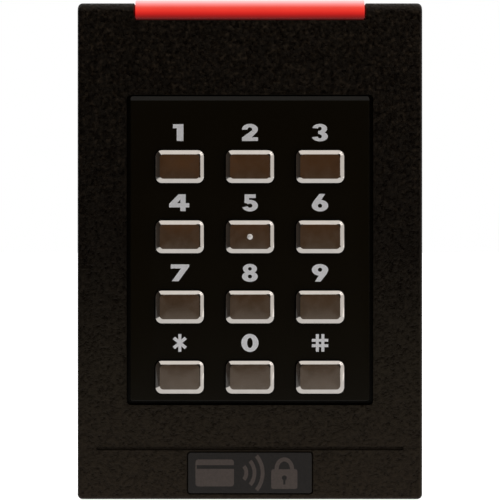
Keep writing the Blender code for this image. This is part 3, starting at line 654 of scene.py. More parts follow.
pocket = slab(PANEL_POCKET_HALF_WIDTH, panel_half_height - 0.6 * MM, 1.5 * MM, 10 * MM, PANEL_FACE_BACK,
              middle=panel_middle)
openings = [slab(KEY_HALF_WIDTH + KEY_GAP, KEY_HALF_HEIGHT + KEY_GAP, KEY_CORNER + KEY_GAP,
                 PANEL_FACE_BACK - WALL, PANEL_FRONT + WALL, middle=(middle.x, middle.z))
            for middle in key_middles.values()]
carve(panel, pocket, *openings)
soften(panel, 0.08 * MM)

# %% [markdown]
# ## The keys
# Each cap is die-cast and plated. From the front it is a flat face inside a polished bevel that curves over
# the edge. I skin it in one go: straight side, the bevel as an arc that turns from steep to shallow, then a
# face that is very slightly crowned, so that its reflection changes across it. The collar that stops it
# falling out of the panel is black, like a plastic carrier under a plated cap, and it is also painted shade:
# plated, it would glint in the gap, which is dark with shade. The middle key has a raised dot, which is
# turned;
# its pale, mostly diffuse colour is a painted highlight.

# %% Plated metal
key_metal = grain(new_material("key_metal", (0.60, 0.56, 0.52), 0.1, 1.0), scale=500, relief=0.002 * MM,
                  spread=0.04, gloss=0.03)
# Painted shade: the collars are black so that the gap round each key reads as shade.
collar_shade_black = grain(new_material("collar_shade_black", (0.003, 0.0025, 0.002), 0.6, Specular_IOR_Level=0.1),
                     scale=4000, relief=0.01 * MM, spread=0.3)
# Painted highlight: the dot is nearly white and mostly diffuse, so it looks lit under any light.
dot_metal_painted_highlight = grain(new_material("dot_metal_painted_highlight", (0.90, 0.87, 0.84), 0.35, 0.2), scale=4000, relief=0.004 * MM,
                  spread=0.05, gloss=0.05)

# %% Key caps
KEY_TOP = 27.5 * MM
KEY_BACK = 20.8 * MM
COLLAR = 0.7 * MM
COLLAR_THICK = 0.9 * MM
BEVEL_WIDTH = 1.0 * MM
BEVEL_DEPTH = 0.65 * MM
BEVEL_STEPS = 8
BEVEL_BULGE = 0.09 * MM
CROWN = 0.02 * MM
KEY_SHARP = 15
DOT_RADIUS = 0.65 * MM
DOT_HEIGHT = 0.4 * MM
DOT_FOOT = 0.06 * MM


def key_sections():
    """Back to front: the side, the bevel and the face."""
    sections = [(KEY_HALF_WIDTH, KEY_HALF_HEIGHT, KEY_CORNER, KEY_BACK + COLLAR_THICK - 0.1 * MM),
                (KEY_HALF_WIDTH, KEY_HALF_HEIGHT, KEY_CORNER, KEY_TOP - BEVEL_DEPTH - 0.15 * MM)]
    for step in range(BEVEL_STEPS + 1):
        share = step / BEVEL_STEPS
        inset = BEVEL_WIDTH * share
        rise = BEVEL_DEPTH * share + BEVEL_BULGE * math.sin(math.pi * share)
        sections.append((KEY_HALF_WIDTH - inset, KEY_HALF_HEIGHT - inset,
                         KEY_CORNER + (KEY_INNER_CORNER - KEY_CORNER) * share,
                         KEY_TOP - BEVEL_DEPTH + rise - CROWN * share))
    for share in (0.02, 0.15, 0.3, 0.5, 0.7, 0.9):
        inset = BEVEL_WIDTH + share * (KEY_HALF_HEIGHT - BEVEL_WIDTH)
        sections.append((KEY_HALF_WIDTH - inset, KEY_HALF_HEIGHT - inset, KEY_INNER_CORNER * (1 - share),
                         KEY_TOP - CROWN * (1 - share) ** 2))
    return sections


def key_cap(name):
    middle = key_middles[name]
    cap = make_piece(f"cap_{name}", skin(key_sections(), (middle.x, middle.z)), key_metal,
                     body=f"key_{name}", instead_of=[f"key_{name}"], sharp=KEY_SHARP)
    collar = slab(KEY_HALF_WIDTH + COLLAR, KEY_HALF_HEIGHT + COLLAR, KEY_CORNER + COLLAR, KEY_BACK,
                  KEY_BACK + COLLAR_THICK, (middle.x, middle.z))
    soften(make_piece(f"collar_{name}", collar, collar_shade_black, f"key_{name}", slot="key_metal"), 0.1 * MM)
    return cap


caps = {name: key_cap(name) for name in KEY_NAMES}
five = key_middles["5"]
dot_profile = [(0.0, 0.0), (DOT_RADIUS + 0.08 * MM, 0.0), (DOT_RADIUS + 0.02 * MM, DOT_FOOT)]
dot_profile += [(DOT_RADIUS * math.cos(a), DOT_FOOT + (DOT_HEIGHT - DOT_FOOT) * math.sin(a))
                for a in (0.3, 0.6, 0.9, 1.2, 1.45)]
dot = lathe([*dot_profile, (0.0, DOT_HEIGHT)], facing(five.x, KEY_TOP - CROWN - 0.02 * MM, five.z))
make_piece("dot_5", dot, dot_metal_painted_highlight, "key_5", slot="key_metal")
print(len(caps), "caps,", len(caps["1"].data.polygons), "faces each")

# %% [markdown]
# ## The legends
# A heavy geometric numeral is printed above each key. No typeface is needed: bars, ellipses and sectors of
# rings make all twelve. Each legend is a few such flat prisms joined into one, a few hundredths of a
# millimetre thick.

# %% Strokes
INK_BACK = PANEL_FRONT - 0.02 * MM
INK_FRONT = PANEL_FRONT + 0.03 * MM
ARC_STEP = 10


def prism(points):
    """A flat outline, in millimetres, as a thin solid."""
    shape = bmesh.new()
    rings = [[shape.verts.new((x * MM, -depth, z * MM)) for x, z in points]
             for depth in (INK_BACK, INK_FRONT)]
    return join_rings(shape, rings)


def bar(left, low, right, high):
    return prism([(left, low), (right, low), (right, high), (left, high)])


def beam(length, width, tilt):
    """A bar about the middle, turned by an angle."""
    turn = Matrix.Rotation(math.radians(tilt), 2)
    ends = [Vector((x * length / 2, z * width / 2)) for x, z in ((-1, -1), (1, -1), (1, 1), (-1, 1))]
    return prism([tuple(turn @ end) for end in ends])


def arc(middle, radii, start, stop):
    """Points along part of an ellipse, anticlockwise."""
    count = max(2, round(abs(stop - start) / ARC_STEP))
    angles = [math.radians(start + (stop - start) * step / count) for step in range(count + 1)]
    return [(middle[0] + radii[0] * math.cos(a), middle[1] + radii[1] * math.sin(a)) for a in angles]


def disc(middle, radii):
    return prism(arc(middle, radii, 0, 360)[:-1])


def hook(middle, outer, inner, start, stop):
    """Part of a ring between two ellipses."""
    return prism(arc(middle, outer, start, stop) + arc(middle, inner, stop, start))


# %% [markdown]
# Each numeral is two lists: what to join, and what to cut out afterwards. Sizes are in millimetres about the
# numeral's middle; the cap height is 4.1.

# %% Numerals
CAP = 2.05


def turned_over(points):
    return [(-x, -z) for x, z in points]


SIX_STEM = [(-0.15, 2.15), (1.25, 2.15), (0.35, 0.75), (0.0, -0.7), (-1.9, -0.5), (-1.65, 0.25)]
SIX_BOWL = ((0, -0.72), (2.0, 1.42))
SIX_EYE = ((0, -0.75), (0.52, 0.48))


def numeral(name):
    """The solids to join and the solids to cut for one legend."""
    if name == "1":
        return [bar(-0.75, -CAP, 0.88, CAP), bar(-1.66, 1.05, -0.4, CAP)], []
    if name == "2":
        return [hook((0, 0.78), (1.95, 1.36), (0.55, 0.5), -35, 183),
                prism([(-1.95, -1.25), (0.35, 0.45), (1.62, 0.02), (0.35, -1.25)]),
                bar(-1.95, -CAP, 1.95, -1.15)], []
    if name == "3":
        return [hook((-0.05, 0.95), (1.8, 1.2), (0.45, 0.45), -90, 172),
                hook((-0.05, -0.93), (1.95, 1.22), (0.5, 0.47), -172, 90),
                bar(-0.45, -0.35, 0.6, 0.42)], []
    if name == "4":
        body = prism([(0.1, -CAP), (1.42, -CAP), (1.42, CAP), (-0.3, CAP), (-2.6, -0.25), (-2.6, -1.15),
                      (0.1, -1.15)])
        return [body, bar(1, -1.15, 2.3, -0.12)], [prism([(0.12, -0.12), (0.12, 0.75), (-0.62, -0.12)])]
    if name == "5":
        return [bar(-1.3, 1.15, 1.4, CAP), bar(-1.3, -0.1, -0.2, CAP - 0.1),
                hook((0, -0.72), (1.95, 1.42), (0.6, 0.5), -163, 138)], []
    if name == "6":
        return [prism(SIX_STEM), disc(*SIX_BOWL)], [disc(*SIX_EYE)]
    if name == "7":
        return [prism([(-1.95, -CAP), (-0.3, -CAP), (2.3, 1.5), (2.3, CAP), (-2.2, CAP), (-2.2, 1.05),
                       (0.3, 1.05)])], []
    if name == "8":
        body = prism(arc((0, 0.98), (1.72, 1.2), -50, 230) + arc((0, -0.92), (1.92, 1.28), 130, 410))
        return [body], [disc((0, 0.96), (0.45, 0.42)), disc((0, -0.9), (0.5, 0.46))]
    if name == "9":
        bowl, eye = [(turned_over([middle])[0], radii) for middle, radii in (SIX_BOWL, SIX_EYE)]
        return [prism(turned_over(SIX_STEM)), disc(*bowl)], [disc(*eye)]
    if name == "0":
        return [disc((0, 0), (2.1, 2.2))], [disc((0, 0), (0.68, 1.25))]
    if name == "star":
        return [beam(4.3, 0.75, 90), beam(3.8, 0.8, 40), beam(3.8, 0.8, -40)], []
    return [bar(-1.02, -2.15, -0.28, 2.15), bar(0.32, -2.15, 1.06, 2.15), bar(-2, 0.28, 2, 0.98),
            bar(-2, -1.02, 2, -0.32)], []


# %% Printing
LEGEND_RISE = 8.33 * MM
legend_ink = grain(new_material("legend_ink", (0.82, 0.82, 0.84), 0.55), scale=3000, relief=0.004 * MM,
                   spread=0.08)


def print_on(name, joined, cuts, place, ink, slot):
    """Joins flat prisms into one printed piece at a place, and cuts others right through it."""
    for shape in joined + cuts:
        bmesh.ops.translate(shape, vec=place, verts=shape.verts)
    printed = make_piece(name, joined[0], ink, slot=slot)
    carve(printed, *joined[1:], operation="UNION")
    to_middle = Matrix.Translation((0, (INK_BACK + INK_FRONT) / 2 - place[1], 0))
    for hole in cuts:
        bmesh.ops.scale(hole, vec=(1, 3, 1), verts=hole.verts, space=to_middle)
    carve(printed, *cuts)


for name in KEY_NAMES:
    middle = key_middles[name]
    print_on(f"legend_{name}", *numeral(name), (middle.x, 0, middle.z + LEGEND_RISE), legend_ink,
             slot="smooth_black")
print("Printed", len(KEY_NAMES), "legends")

# %% [markdown]
# ## The light bar
# The bar is a tinted light pipe that wraps the housing's top front edge. Lamps inside feed it from behind, so
# it glows red. Its top edge shines almost white, which is a painted highlight of the light from above on the
# round-over, and its lower lip fades to deep red. Towards the wall the cover is red again. The glow and the
# painted highlight are made with one ramp over the height and one over the depth, and a faint streakiness
# that comes from the moulding.

# %% Glowing plastic
red_pipe = new_material("red_light_pipe", (0.25, 0.008, 0.006), 0.25)
pipe_tree = red_pipe.node_tree
pipe_shader = pipe_tree.nodes["Principled BSDF"]
pipe_place, pipe_axes = position(pipe_tree)
GLOW_WITH_HIGHLIGHT_HEIGHTS = (56.85 * MM, 61.35 * MM)
# The top stops are a painted highlight: near white where the round-over catches the light from above.
GLOW_WITH_HIGHLIGHT = ((0.0, (0.07, 0.008, 0.008, 1)), (0.12, (0.26, 0.010, 0.010, 1)), (0.24, (0.54, 0.014, 0.012, 1)),
        (0.42, (0.82, 0.040, 0.026, 1)), (0.62, (0.84, 0.085, 0.058, 1)), (0.78, (0.96, 0.29, 0.28, 1)),
        (0.89, (1.05, 0.56, 0.56, 1)), (1.0, (1.05, 0.56, 0.56, 1)))
FADE_DEPTHS = (-17 * MM, -24.5 * MM)
TOWARDS_WALL = ((0.0, (0.30, 0.06, 0.05, 1)), (0.55, (0.80, 0.14, 0.12, 1)), (0.9, grey(1)), (1.0, grey(1)))
glow_with_highlight = ramp(pipe_tree, span(pipe_tree, pipe_axes["Z"], *GLOW_WITH_HIGHLIGHT_HEIGHTS), *GLOW_WITH_HIGHLIGHT)
fade = ramp(pipe_tree, span(pipe_tree, pipe_axes["Y"], *FADE_DEPTHS), *TOWARDS_WALL)
streak_noise = add(pipe_tree, "ShaderNodeTexNoise", Scale=160.0, Detail=2.0)
pipe_tree.links.new(pipe_place, streak_noise.inputs["Vector"])
streaks = ramp(pipe_tree, streak_noise.outputs["Fac"], (0.2, grey(0.95)), (0.8, grey(1.04)))
for change in (fade, streaks):
    glow_with_highlight = blend_colours(pipe_tree, 1.0, glow_with_highlight, change, "MULTIPLY")
pipe_tree.links.new(glow_with_highlight, pipe_shader.inputs["Emission Color"])
pipe_shader.inputs["Emission Strength"].default_value = 0.9

# %% Light pipe
BAR_ROUND_OVER = 2.5 * MM
BAR_FRONT = -bar_low.y
BAR_LIP = 56.75 * MM
GUIDE_FRONT = HOUSE_FRONT - WALL - FIT
GUIDE_TOP = HOUSE_HALF_HEIGHT - DRAFT - WALL - FIT
COVER_BACK = 17.3 * MM


def bar_outline():
    """Depth and height round the pipe's end: the lip, the round-over, the cover and the guide behind."""
    middle = (BAR_FRONT - BAR_ROUND_OVER, bar_high.z - BAR_ROUND_OVER)
    over = arc(middle, (BAR_ROUND_OVER, BAR_ROUND_OVER), 0, 90)
    return [(BAR_FRONT, BAR_LIP), *over, (COVER_BACK, bar_high.z), (COVER_BACK, GUIDE_TOP),
            (-bar_high.y, GUIDE_TOP), (-bar_high.y, bar_low.z),
            (GUIDE_FRONT, bar_low.z), (GUIDE_FRONT, BAR_LIP)]


pipe_shape = bmesh.new()
pipe_ends = [[pipe_shape.verts.new((x, -depth, z)) for depth, z in bar_outline()]
             for x in (bar_low.x, bar_high.x)]
pipe = make_piece("light_pipe", join_rings(pipe_shape, pipe_ends), red_pipe, instead_of=["light_bar"])
soften(pipe, 0.2 * MM)

# %% [markdown]
# ## The badge
# A thin label lies flush in its seat. It shows a plain card, radio waves and a padlock in a slightly lighter
# tone, drawn with the same strokes as the legends.

# %% Badge
badge_dark = grain(new_material("badge_dark", (0.012, 0.0095, 0.0078), 0.42, Specular_IOR_Level=0.3),
                   scale=2500, relief=0.01 * MM, spread=0.25)
badge_mark = grain(new_material("badge_mark", (0.070, 0.053, 0.045), 0.4, Specular_IOR_Level=0.35),
                   scale=2500, relief=0.01 * MM, spread=0.15)
label = slab(badge_half.x, badge_half.z, 0.6 * MM, -badge_high.y, -badge_low.y, middle=(0, badge_middle.z))
badge = make_piece("badge_label", label, badge_dark, instead_of=["badge_plate"])
soften(badge, 0.1 * MM)


def card(middle, half, radius):
    return prism([(middle[0] + x, middle[1] + z) for x, z in rounded_rectangle(*half, radius, 4)])


CARD = (-8.6, 0)
WAVES = (-3.4, 0)
WAVE_WIDTH = 0.95
LOCK = (8.4, -1.5)
SHACKLE = (8.4, 0.9)
symbols = [card(CARD, (4.7, 3.3), 0.7), card(LOCK, (3.2, 2.4), 0.5),
           hook(SHACKLE, (2.4, 2.9), (1.4, 1.9), -10, 190)]
symbols += [hook(WAVES, (reach, reach), (reach - WAVE_WIDTH, reach - WAVE_WIDTH), -40, 40)
            for reach in (3.0, 5.0, 7.0)]
stripe = bar(-13, 1.0, -3.5, 1.9)
keyhole = [disc((LOCK[0], LOCK[1] + 0.3), (0.6, 0.6)),
           bar(LOCK[0] - 0.25, LOCK[1] - 1.3, LOCK[0] + 0.25, LOCK[1] + 0.2)]
print_on("badge_symbols", symbols, [stripe, *keyhole], (0, PANEL_FRONT - HOUSE_FRONT, badge_middle.z),
         badge_mark, slot="badge_dark")

# %% [markdown]
# ## Finishes behind the front
# The rest is ordinary electronics and hardware: silicone, circuit board, copper, epoxy, drawn steel, and
# plated screws. Each starts from the same grain. The circuit board has tracks under its lacquer and round
# soldered holes: the tracks are the joints of a brick pattern, and the holes are the middles of scattered
# cells. The metals are drawn or plated, so their grain is stretched or blotchy.

# %% Plastics, silicone and metals
silicone_grey = grain(new_material("silicone_grey", (0.25, 0.25, 0.24), 0.55, Subsurface_Weight=0.15,
                                   Subsurface_Scale=0.002),
                      scale=900, relief=0.02 * MM, spread=0.08, gloss=0.08)
chip_black = grain(new_material("chip_black", (0.018, 0.018, 0.019), 0.55, Specular_IOR_Level=0.35),
                   scale=6000, relief=0.01 * MM, spread=0.3, gloss=0.08)
cover_black = grain(new_material("cover_black", (0.0135, 0.013, 0.0125), 0.5, Specular_IOR_Level=0.3),
                    scale=1400, relief=0.16 * MM, spread=0.55, gloss=0.2, detail=2.0)
terminal_green = grain(new_material("terminal_green", (0.016, 0.21, 0.065), 0.4),
                       scale=700, relief=0.02 * MM, spread=0.14, gloss=0.1)
copper_wire = grain(new_material("copper_wire", (0.74, 0.33, 0.15), 0.28, 1.0),
                    scale=2500, relief=0.006 * MM, spread=0.14, gloss=0.08)
bright_can = grain(new_material("bright_can", (0.72, 0.72, 0.70), 0.28, 1.0),
                   scale=700, relief=0.01 * MM, spread=0.06, gloss=0.1, stretch=(1, 1, 14))
zinc_steel = grain(new_material("zinc_steel", (0.60, 0.60, 0.58), 0.34, 1.0),
                   scale=1100, relief=0.01 * MM, spread=0.16, gloss=0.12)
nickel_steel = grain(new_material("nickel_steel", (0.70, 0.67, 0.62), 0.26, 1.0),
                     scale=900, relief=0.008 * MM, spread=0.08, gloss=0.1)
gold_plate = grain(new_material("gold_plate", (0.83, 0.60, 0.24), 0.3, 1.0),
                   scale=1500, relief=0.004 * MM, spread=0.06, gloss=0.08)
led_white = grain(new_material("led_white", (0.80, 0.79, 0.74), 0.4),
                  scale=3000, relief=0.006 * MM, spread=0.05, gloss=0.08)
led_lens = grain(new_material("led_lens", (0.75, 0.10, 0.05), 0.2, Emission_Color=(1.0, 0.10, 0.06, 1.0),
                              Emission_Strength=1.5),
                 scale=2000, relief=0.004 * MM, spread=0.1)
dark_lens = grain(new_material("dark_lens", (0.02, 0.008, 0.012), 0.12, Coat_Weight=0.5),
                  scale=1500, relief=0.002 * MM, spread=0.2)

# %% Circuit board
board_green = new_material("board_green", (0.008, 0.085, 0.035), 0.32, Coat_Weight=0.4)
board_tree = board_green.node_tree
board_turn = add(board_tree, "ShaderNodeMapping", Rotation=(math.pi / 2, 0, 0))
board_tree.links.new(position(board_tree)[0], board_turn.inputs["Vector"])
lines = add(board_tree, "ShaderNodeTexBrick", Scale=230.0, Color1=(0.006, 0.075, 0.030, 1),
            Color2=(0.008, 0.090, 0.038, 1), Mortar=(0.022, 0.21, 0.085, 1), Mortar_Size=0.035,
            Mortar_Smooth=0.2, Brick_Width=1.7, Row_Height=0.32, offset=0.37)
spots = add(board_tree, "ShaderNodeTexVoronoi", Scale=170.0)
for pattern in (lines, spots):
    board_tree.links.new(board_turn.outputs["Vector"], pattern.inputs["Vector"])
solder = ramp(board_tree, spots.outputs["Distance"], (0.0, grey(1)), (0.09, grey(1)), (0.11, grey(0)))
lacquer = blend_colours(board_tree, solder, lines.outputs["Color"], (0.55, 0.54, 0.48, 1))
tracks = add(board_tree, "ShaderNodeBump", Strength=1.0, Distance=0.03 * MM)
board_tree.links.new(lines.outputs["Fac"], tracks.inputs["Height"])
board_shader = board_tree.nodes["Principled BSDF"]
board_tree.links.new(lacquer, board_shader.inputs["Base Color"])
board_tree.links.new(solder, board_shader.inputs["Metallic"])
board_tree.links.new(tracks.outputs["Normal"], board_shader.inputs["Normal"])

# %% [markdown]
# ## The keypad mat and its board
# Under the keys lies one silicone sheet with a hollow dome for each key. A key that is pressed flattens its
# dome until the pill inside closes the gold contact on the board below. Each dome is its own turned piece,
# apart from the sheet.

# %% Places from the frame
def limits(name):
    """A node's middle, half size, back depth and front depth."""
    low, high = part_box(name)
    return (low + high) / 2, (high - low) / 2, -high.y, -low.y


def gather(shapes):
    """Puts several closed shapes into one."""
    whole, *others = shapes
    for other in others:
        carrier = bpy.data.meshes.new("carrier")
        other.to_mesh(carrier)
        other.free()
        whole.from_mesh(carrier)
        bpy.data.meshes.remove(carrier)
    return whole


def rods(places, radius, back, front):
    """Round rods that face the front, for holes and posts."""
    return [rod(radius, back, front, facing(x, 0, z)) for x, z in places]


def turned_at(places, profile, start=0.0, sides=32):
    """The same turned part at each place, from a profile in millimetres that begins at a depth."""
    points = [(radius * MM, start + height * MM) for radius, height in profile]
    return [lathe(points, facing(x, 0, z), sides) for x, z in places]


STAKES = [(x * MM, z * MM) for x in (-30.6, 30.6) for z in (-38.0, 39.0)]
STAKE_HOLE = 1.5 * MM
key_places = [(middle.x, middle.z) for middle in key_middles.values()]

# %% Sheet and domes
SHEET_FRONT = 18.6 * MM
DOME_HOLE = 3.7 * MM
mat_middle, mat_half, mat_back, mat_front = limits("keypad_mat")
sheet_shape = slab(mat_half.x, mat_half.z, 2 * MM, mat_back, SHEET_FRONT, (0, mat_middle.z))
mat_sheet = make_piece("mat_sheet", sheet_shape, silicone_grey, instead_of=["keypad_mat"])
carve(mat_sheet, *rods(STAKES, STAKE_HOLE, mat_back - WALL, SHEET_FRONT + WALL))
carve(mat_sheet, gather(rods(key_places, DOME_HOLE, mat_back - WALL, SHEET_FRONT + WALL)))
soften(mat_sheet, 0.15 * MM)
DOME_PROFILE = [(0, 18.7), (1.2, 18.7), (1.4, 18.85), (1.4, 19.75), (2.1, 19.75), (3.55, 18.3),
                (3.6, 17.75), (4.2, 17.75), (4.45, 18.2), (4.2, 18.62), (3.85, 18.95), (2.85, 19.95),
                (2.65, 20.35), (2.35, 20.5), (0, 20.5)]
for name, shape in zip(KEY_NAMES, turned_at(key_places, DOME_PROFILE)):
    middle = key_middles[name]
    dome = make_piece(f"dome_{name}", shape, silicone_grey)
    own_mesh(dome)
print("The mat has", len(KEY_NAMES), "domes", round((mat_front - SHEET_FRONT) / MM, 1), "mm high")

# %% Keypad board
board_middle, board_half, board_back, board_front = limits("keypad_board")
small_shape = slab(board_half.x, board_half.z, 1 * MM, board_back, board_front, (0, board_middle.z))
small_board = make_piece("keypad_circuit", small_shape, board_green, instead_of=["keypad_board"])
carve(small_board, *rods(STAKES, STAKE_HOLE, board_back - WALL, board_front + WALL))
soften(small_board, 0.1 * MM)
PAD = [(1.3, 0.0), (2.3, 0.0), (2.3, 0.06), (1.3, 0.06), (1.3, 0.0)]
make_piece("contact_pads", gather(turned_at(key_places, PAD, board_front)), gold_plate, slot="board_green")

# %% [markdown]
# ## The main board
# Behind the keypad board stands the main board. It carries the card antenna, a flat winding of copper wire,
# and the parts that read it. The winding is laid turn by turn, as closed loops of wire in two layers.

# %% Board and winding
main_middle, main_half, main_back, main_front = limits("main_board")
BOSSES = [(x * MM, z * MM) for x in (-35.0, 35.0) for z in (-50.0, 50.0)]
BOSS_HOLE = 1.6 * MM
main_shape = slab(main_half.x, main_half.z, 1.5 * MM, main_back, main_front, (0, main_middle.z))
main_circuit = make_piece("main_circuit", main_shape, board_green, instead_of=["main_board"])
carve(main_circuit, *rods(BOSSES, BOSS_HOLE, main_back - WALL, main_front + WALL))
soften(main_circuit, 0.1 * MM)
EYELET = [(1.7, 0.0), (2.7, 0.0), (2.7, 0.05), (1.7, 0.05), (1.7, 0.0)]
make_piece("ground_eyelets", gather(turned_at(BOSSES, EYELET, main_front)), gold_plate, slot="board_green")


def loop_of_wire(half_width, half_height, corner, depth, radius, sides=8):
    """A closed loop of round wire in the shape of a rounded rectangle."""
    shape = bmesh.new()
    outline = rounded_rectangle(half_width, half_height, corner, 6)
    inner = rounded_rectangle(half_width - radius, half_height - radius, corner - radius, 6)
    backward = Vector((0, radius, 0))
    angles = [2 * math.pi * side / sides for side in range(sides)]
    rings = []
    for (x, z), (inner_x, inner_z) in zip(outline, inner):
        centre = Vector((x, -depth, z))
        inward = Vector((inner_x - x, 0, inner_z - z))
        rings.append([shape.verts.new(centre + inward * math.cos(a) + backward * math.sin(a))
                      for a in angles])
    return join_rings(shape, rings + rings[:1], ends=False)


WIRE = 0.25 * MM
COIL_CORNER = 6 * MM
TURNS = 5
LAYERS = 2
_, coil_half, coil_back, _ = limits("antenna_coil")
turns = [loop_of_wire(coil_half.x - WIRE * (1 + 2 * turn), coil_half.z - WIRE * (1 + 2 * turn),
                      COIL_CORNER - 2 * WIRE * turn, coil_back + WIRE * (1.1 + 2 * layer), WIRE)
         for turn in range(TURNS) for layer in range(LAYERS)]
print("The antenna has", len(turns), "turns")
make_piece("antenna_winding", gather(turns), copper_wire, instead_of=["antenna_coil"])

# %% [markdown]
# Chips are a chamfered body with a dimple at pin one, and rows of bent leads in plated metal. One function
# makes the body and one the leads. The connector reuses the body, with no leads and no dimple.

# %% Chips
LEAD_REACH = 0.8 * MM
LEAD_THICK = 0.15 * MM
LEAD_FOOT = 0.5 * MM
CHIP_CORNER = 0.2 * MM
CHIP_DRAFT = 0.12 * MM


def brick(x, depth, z):
    """A small block between three pairs of limits."""
    return slab((x[1] - x[0]) / 2, (z[1] - z[0]) / 2, 0.01 * MM, depth[0], depth[1],
                ((x[0] + x[1]) / 2, (z[0] + z[1]) / 2), 1)


def leads(name, count, sides=4, width=0.3 * MM):
    """Bent leads on two or four sides of a chip: a foot, a riser and a shoulder for each."""
    middle, half, back, front = limits(name)
    made = []
    shoulder = back + (front - back) * 0.45
    for side in range(sides):
        turn = Matrix.Rotation(math.radians(360 / sides * side), 4, "Y")
        reach, row = (half.x, half.z) if sides == 2 or side % 2 == 0 else (half.z, half.x)
        pitch = 2 * (row - LEAD_REACH * 1.2) / count
        for number in range(count):
            z = (number - (count - 1) / 2) * pitch
            row_limits = (z - width / 2, z + width / 2)
            heel = reach - LEAD_FOOT
            knee = heel + LEAD_THICK
            steps = [((heel, reach), (back, back + LEAD_THICK)), ((heel, knee), (back, shoulder)),
                     ((reach - LEAD_REACH - 0.1 * MM, knee), (shoulder - LEAD_THICK, shoulder))]
            for x, depth in steps:
                part = brick(x, depth, row_limits)
                bmesh.ops.transform(part, matrix=Matrix.Translation((middle.x, 0, middle.z)) @ turn,
                                    verts=part.verts)
                made.append(part)
    return make_piece(f"{name}_leads", gather(made), nickel_steel, slot="chip_black")


def chip(name, reach=(LEAD_REACH, LEAD_REACH), dimple=True):
    """A moulded body with drafted sides; reach is what the leads need on each side."""
    middle, half, back, front = limits(name)
    wide, high = half.x - reach[0], half.z - reach[1]
    waist = (wide, high, CHIP_CORNER)
    ends = (wide - CHIP_DRAFT, high - CHIP_DRAFT, CHIP_CORNER)
    seam = (back + front) / 2
    shape = skin([(*ends, back + 0.08 * MM), (*waist, seam - 0.05 * MM), (*waist, seam + 0.05 * MM),
                  (*ends, front - 0.06 * MM), (wide - 0.2 * MM, high - 0.2 * MM, CHIP_CORNER, front)],
                 (middle.x, middle.z), 3)
    piece = make_piece(f"{name}_body", shape, chip_black, instead_of=[name])
    if dimple:
        spot = lathe([(0, front - 0.12 * MM), (0.4 * MM, front - 0.12 * MM), (0.45 * MM, front + WALL),
                      (0, front + WALL)], facing(middle.x - wide + 1 * MM, 0, middle.z + high - 1 * MM), 16)
        carve(piece, spot)
    return piece


chip("controller_chip")
leads("controller_chip", 11)
chip("radio_chip")
leads("radio_chip", 7)
chip("voltage_regulator", reach=(LEAD_REACH, 0.1 * MM), dimple=False)
leads("voltage_regulator", 3, sides=2, width=0.8 * MM)
print("Soldered three chips")

# %% [markdown]
# The other parts on the board are a connector with two rows of gold contacts, a crystal in a drawn can, a
# shielded inductor, a buzzer, a capacitor with a scored top, and four lamps that shine into the light bar.

# %% Connector
connector = chip("board_connector", reach=(0, 0), dimple=False)
connector_middle, _, connector_back, connector_front = limits("board_connector")
CONTACTS = 10
CONTACT_PITCH = 2.0 * MM


def at_contacts(half, back, front):
    """Two rows of square pins in one shape."""
    columns = [connector_middle.x + (number - (CONTACTS - 1) / 2) * CONTACT_PITCH
               for number in range(CONTACTS)]
    rows = [connector_middle.z - 1 * MM, connector_middle.z + 1 * MM]
    return gather([slab(half, half, 0.05 * MM, back, front, (x, z), 1) for x in columns for z in rows])


carve(connector, at_contacts(0.4 * MM, connector_front - 1.2 * MM, connector_front + WALL))
pins = at_contacts(0.22 * MM, connector_back + 0.5 * MM, connector_front - 0.3 * MM)
make_piece("connector_contacts", pins, gold_plate, slot="chip_black")
print("The connector has", 2 * CONTACTS, "contacts")

# %% Crystal and inductor
crystal_middle, crystal_half, crystal_back, crystal_front = limits("crystal")
crystal_place = (crystal_middle.x, crystal_middle.z)
foot = (crystal_half.x, crystal_half.z, 1.0 * MM)
lid = (crystal_half.x - 0.3 * MM, crystal_half.z - 0.3 * MM, 0.9 * MM)
can = skin([(*foot, crystal_back), (*foot, crystal_back + 0.2 * MM), (*lid, crystal_back + 0.25 * MM),
            *rounded_over(*lid, crystal_front, 0.25 * MM, 4)], crystal_place)
make_piece("crystal_can", can, bright_can, instead_of=["crystal"])
choke_middle, choke_half, choke_back, choke_front = limits("power_inductor")
shield = slab(choke_half.x, choke_half.z, 1.5 * MM, choke_back, choke_front - 0.5 * MM,
              (choke_middle.x, choke_middle.z))
inductor = make_piece("inductor_shield", shield, chip_black, instead_of=["power_inductor"])
soften(inductor, 0.2 * MM)
core = lathe([(0, choke_back + 1 * MM), (2.5 * MM, choke_back + 1 * MM), (2.5 * MM, choke_front - 0.2 * MM),
              (2.3 * MM, choke_front), (0, choke_front)], facing(choke_middle.x, 0, choke_middle.z))
make_piece("inductor_core", core, chip_black)
print("The inductor stands", round((choke_front - choke_back) / MM, 1), "mm high")

# %% Buzzer and capacitor
BUZZER = [(0, 0), (0.97, 0), (1.0, 0.08), (1.0, 0.9), (0.96, 1.0), (0.62, 1.0), (0.6, 0.93), (0.25, 0.93),
          (0.22, 0.5), (0, 0.5)]
CAPACITOR = [(0, 0), (0.9, 0), (1.0, 0.06), (1.0, 0.2), (0.93, 0.26), (1.0, 0.32), (1.0, 0.9), (0.92, 1.0),
             (0, 1.0)]


def drum(name, node, shares, material, sides=32):
    """A turned case whose profile is given as shares of the node's radius and height."""
    middle, half, back, front = limits(node)
    profile = [(radius * half.x, back + share * (front - back)) for radius, share in shares]
    return make_piece(name, lathe(profile, facing(middle.x, 0, middle.z), sides), material, instead_of=[node])


drum("buzzer_case", "buzzer", BUZZER, chip_black, 48)
tin = drum("capacitor_can", "filter_capacitor", CAPACITOR, bright_can)
tin_middle, _, _, tin_front = limits("filter_capacitor")
for half_width, half_height in ((1.2 * MM, 0.06 * MM), (0.06 * MM, 1.2 * MM)):
    carve(tin, slab(half_width, half_height, 0.05 * MM, tin_front - 0.08 * MM, tin_front + WALL,
                    (tin_middle.x, tin_middle.z), 1))
print("The capacitor ends", round(tin_front / MM, 1), "mm from the wall")

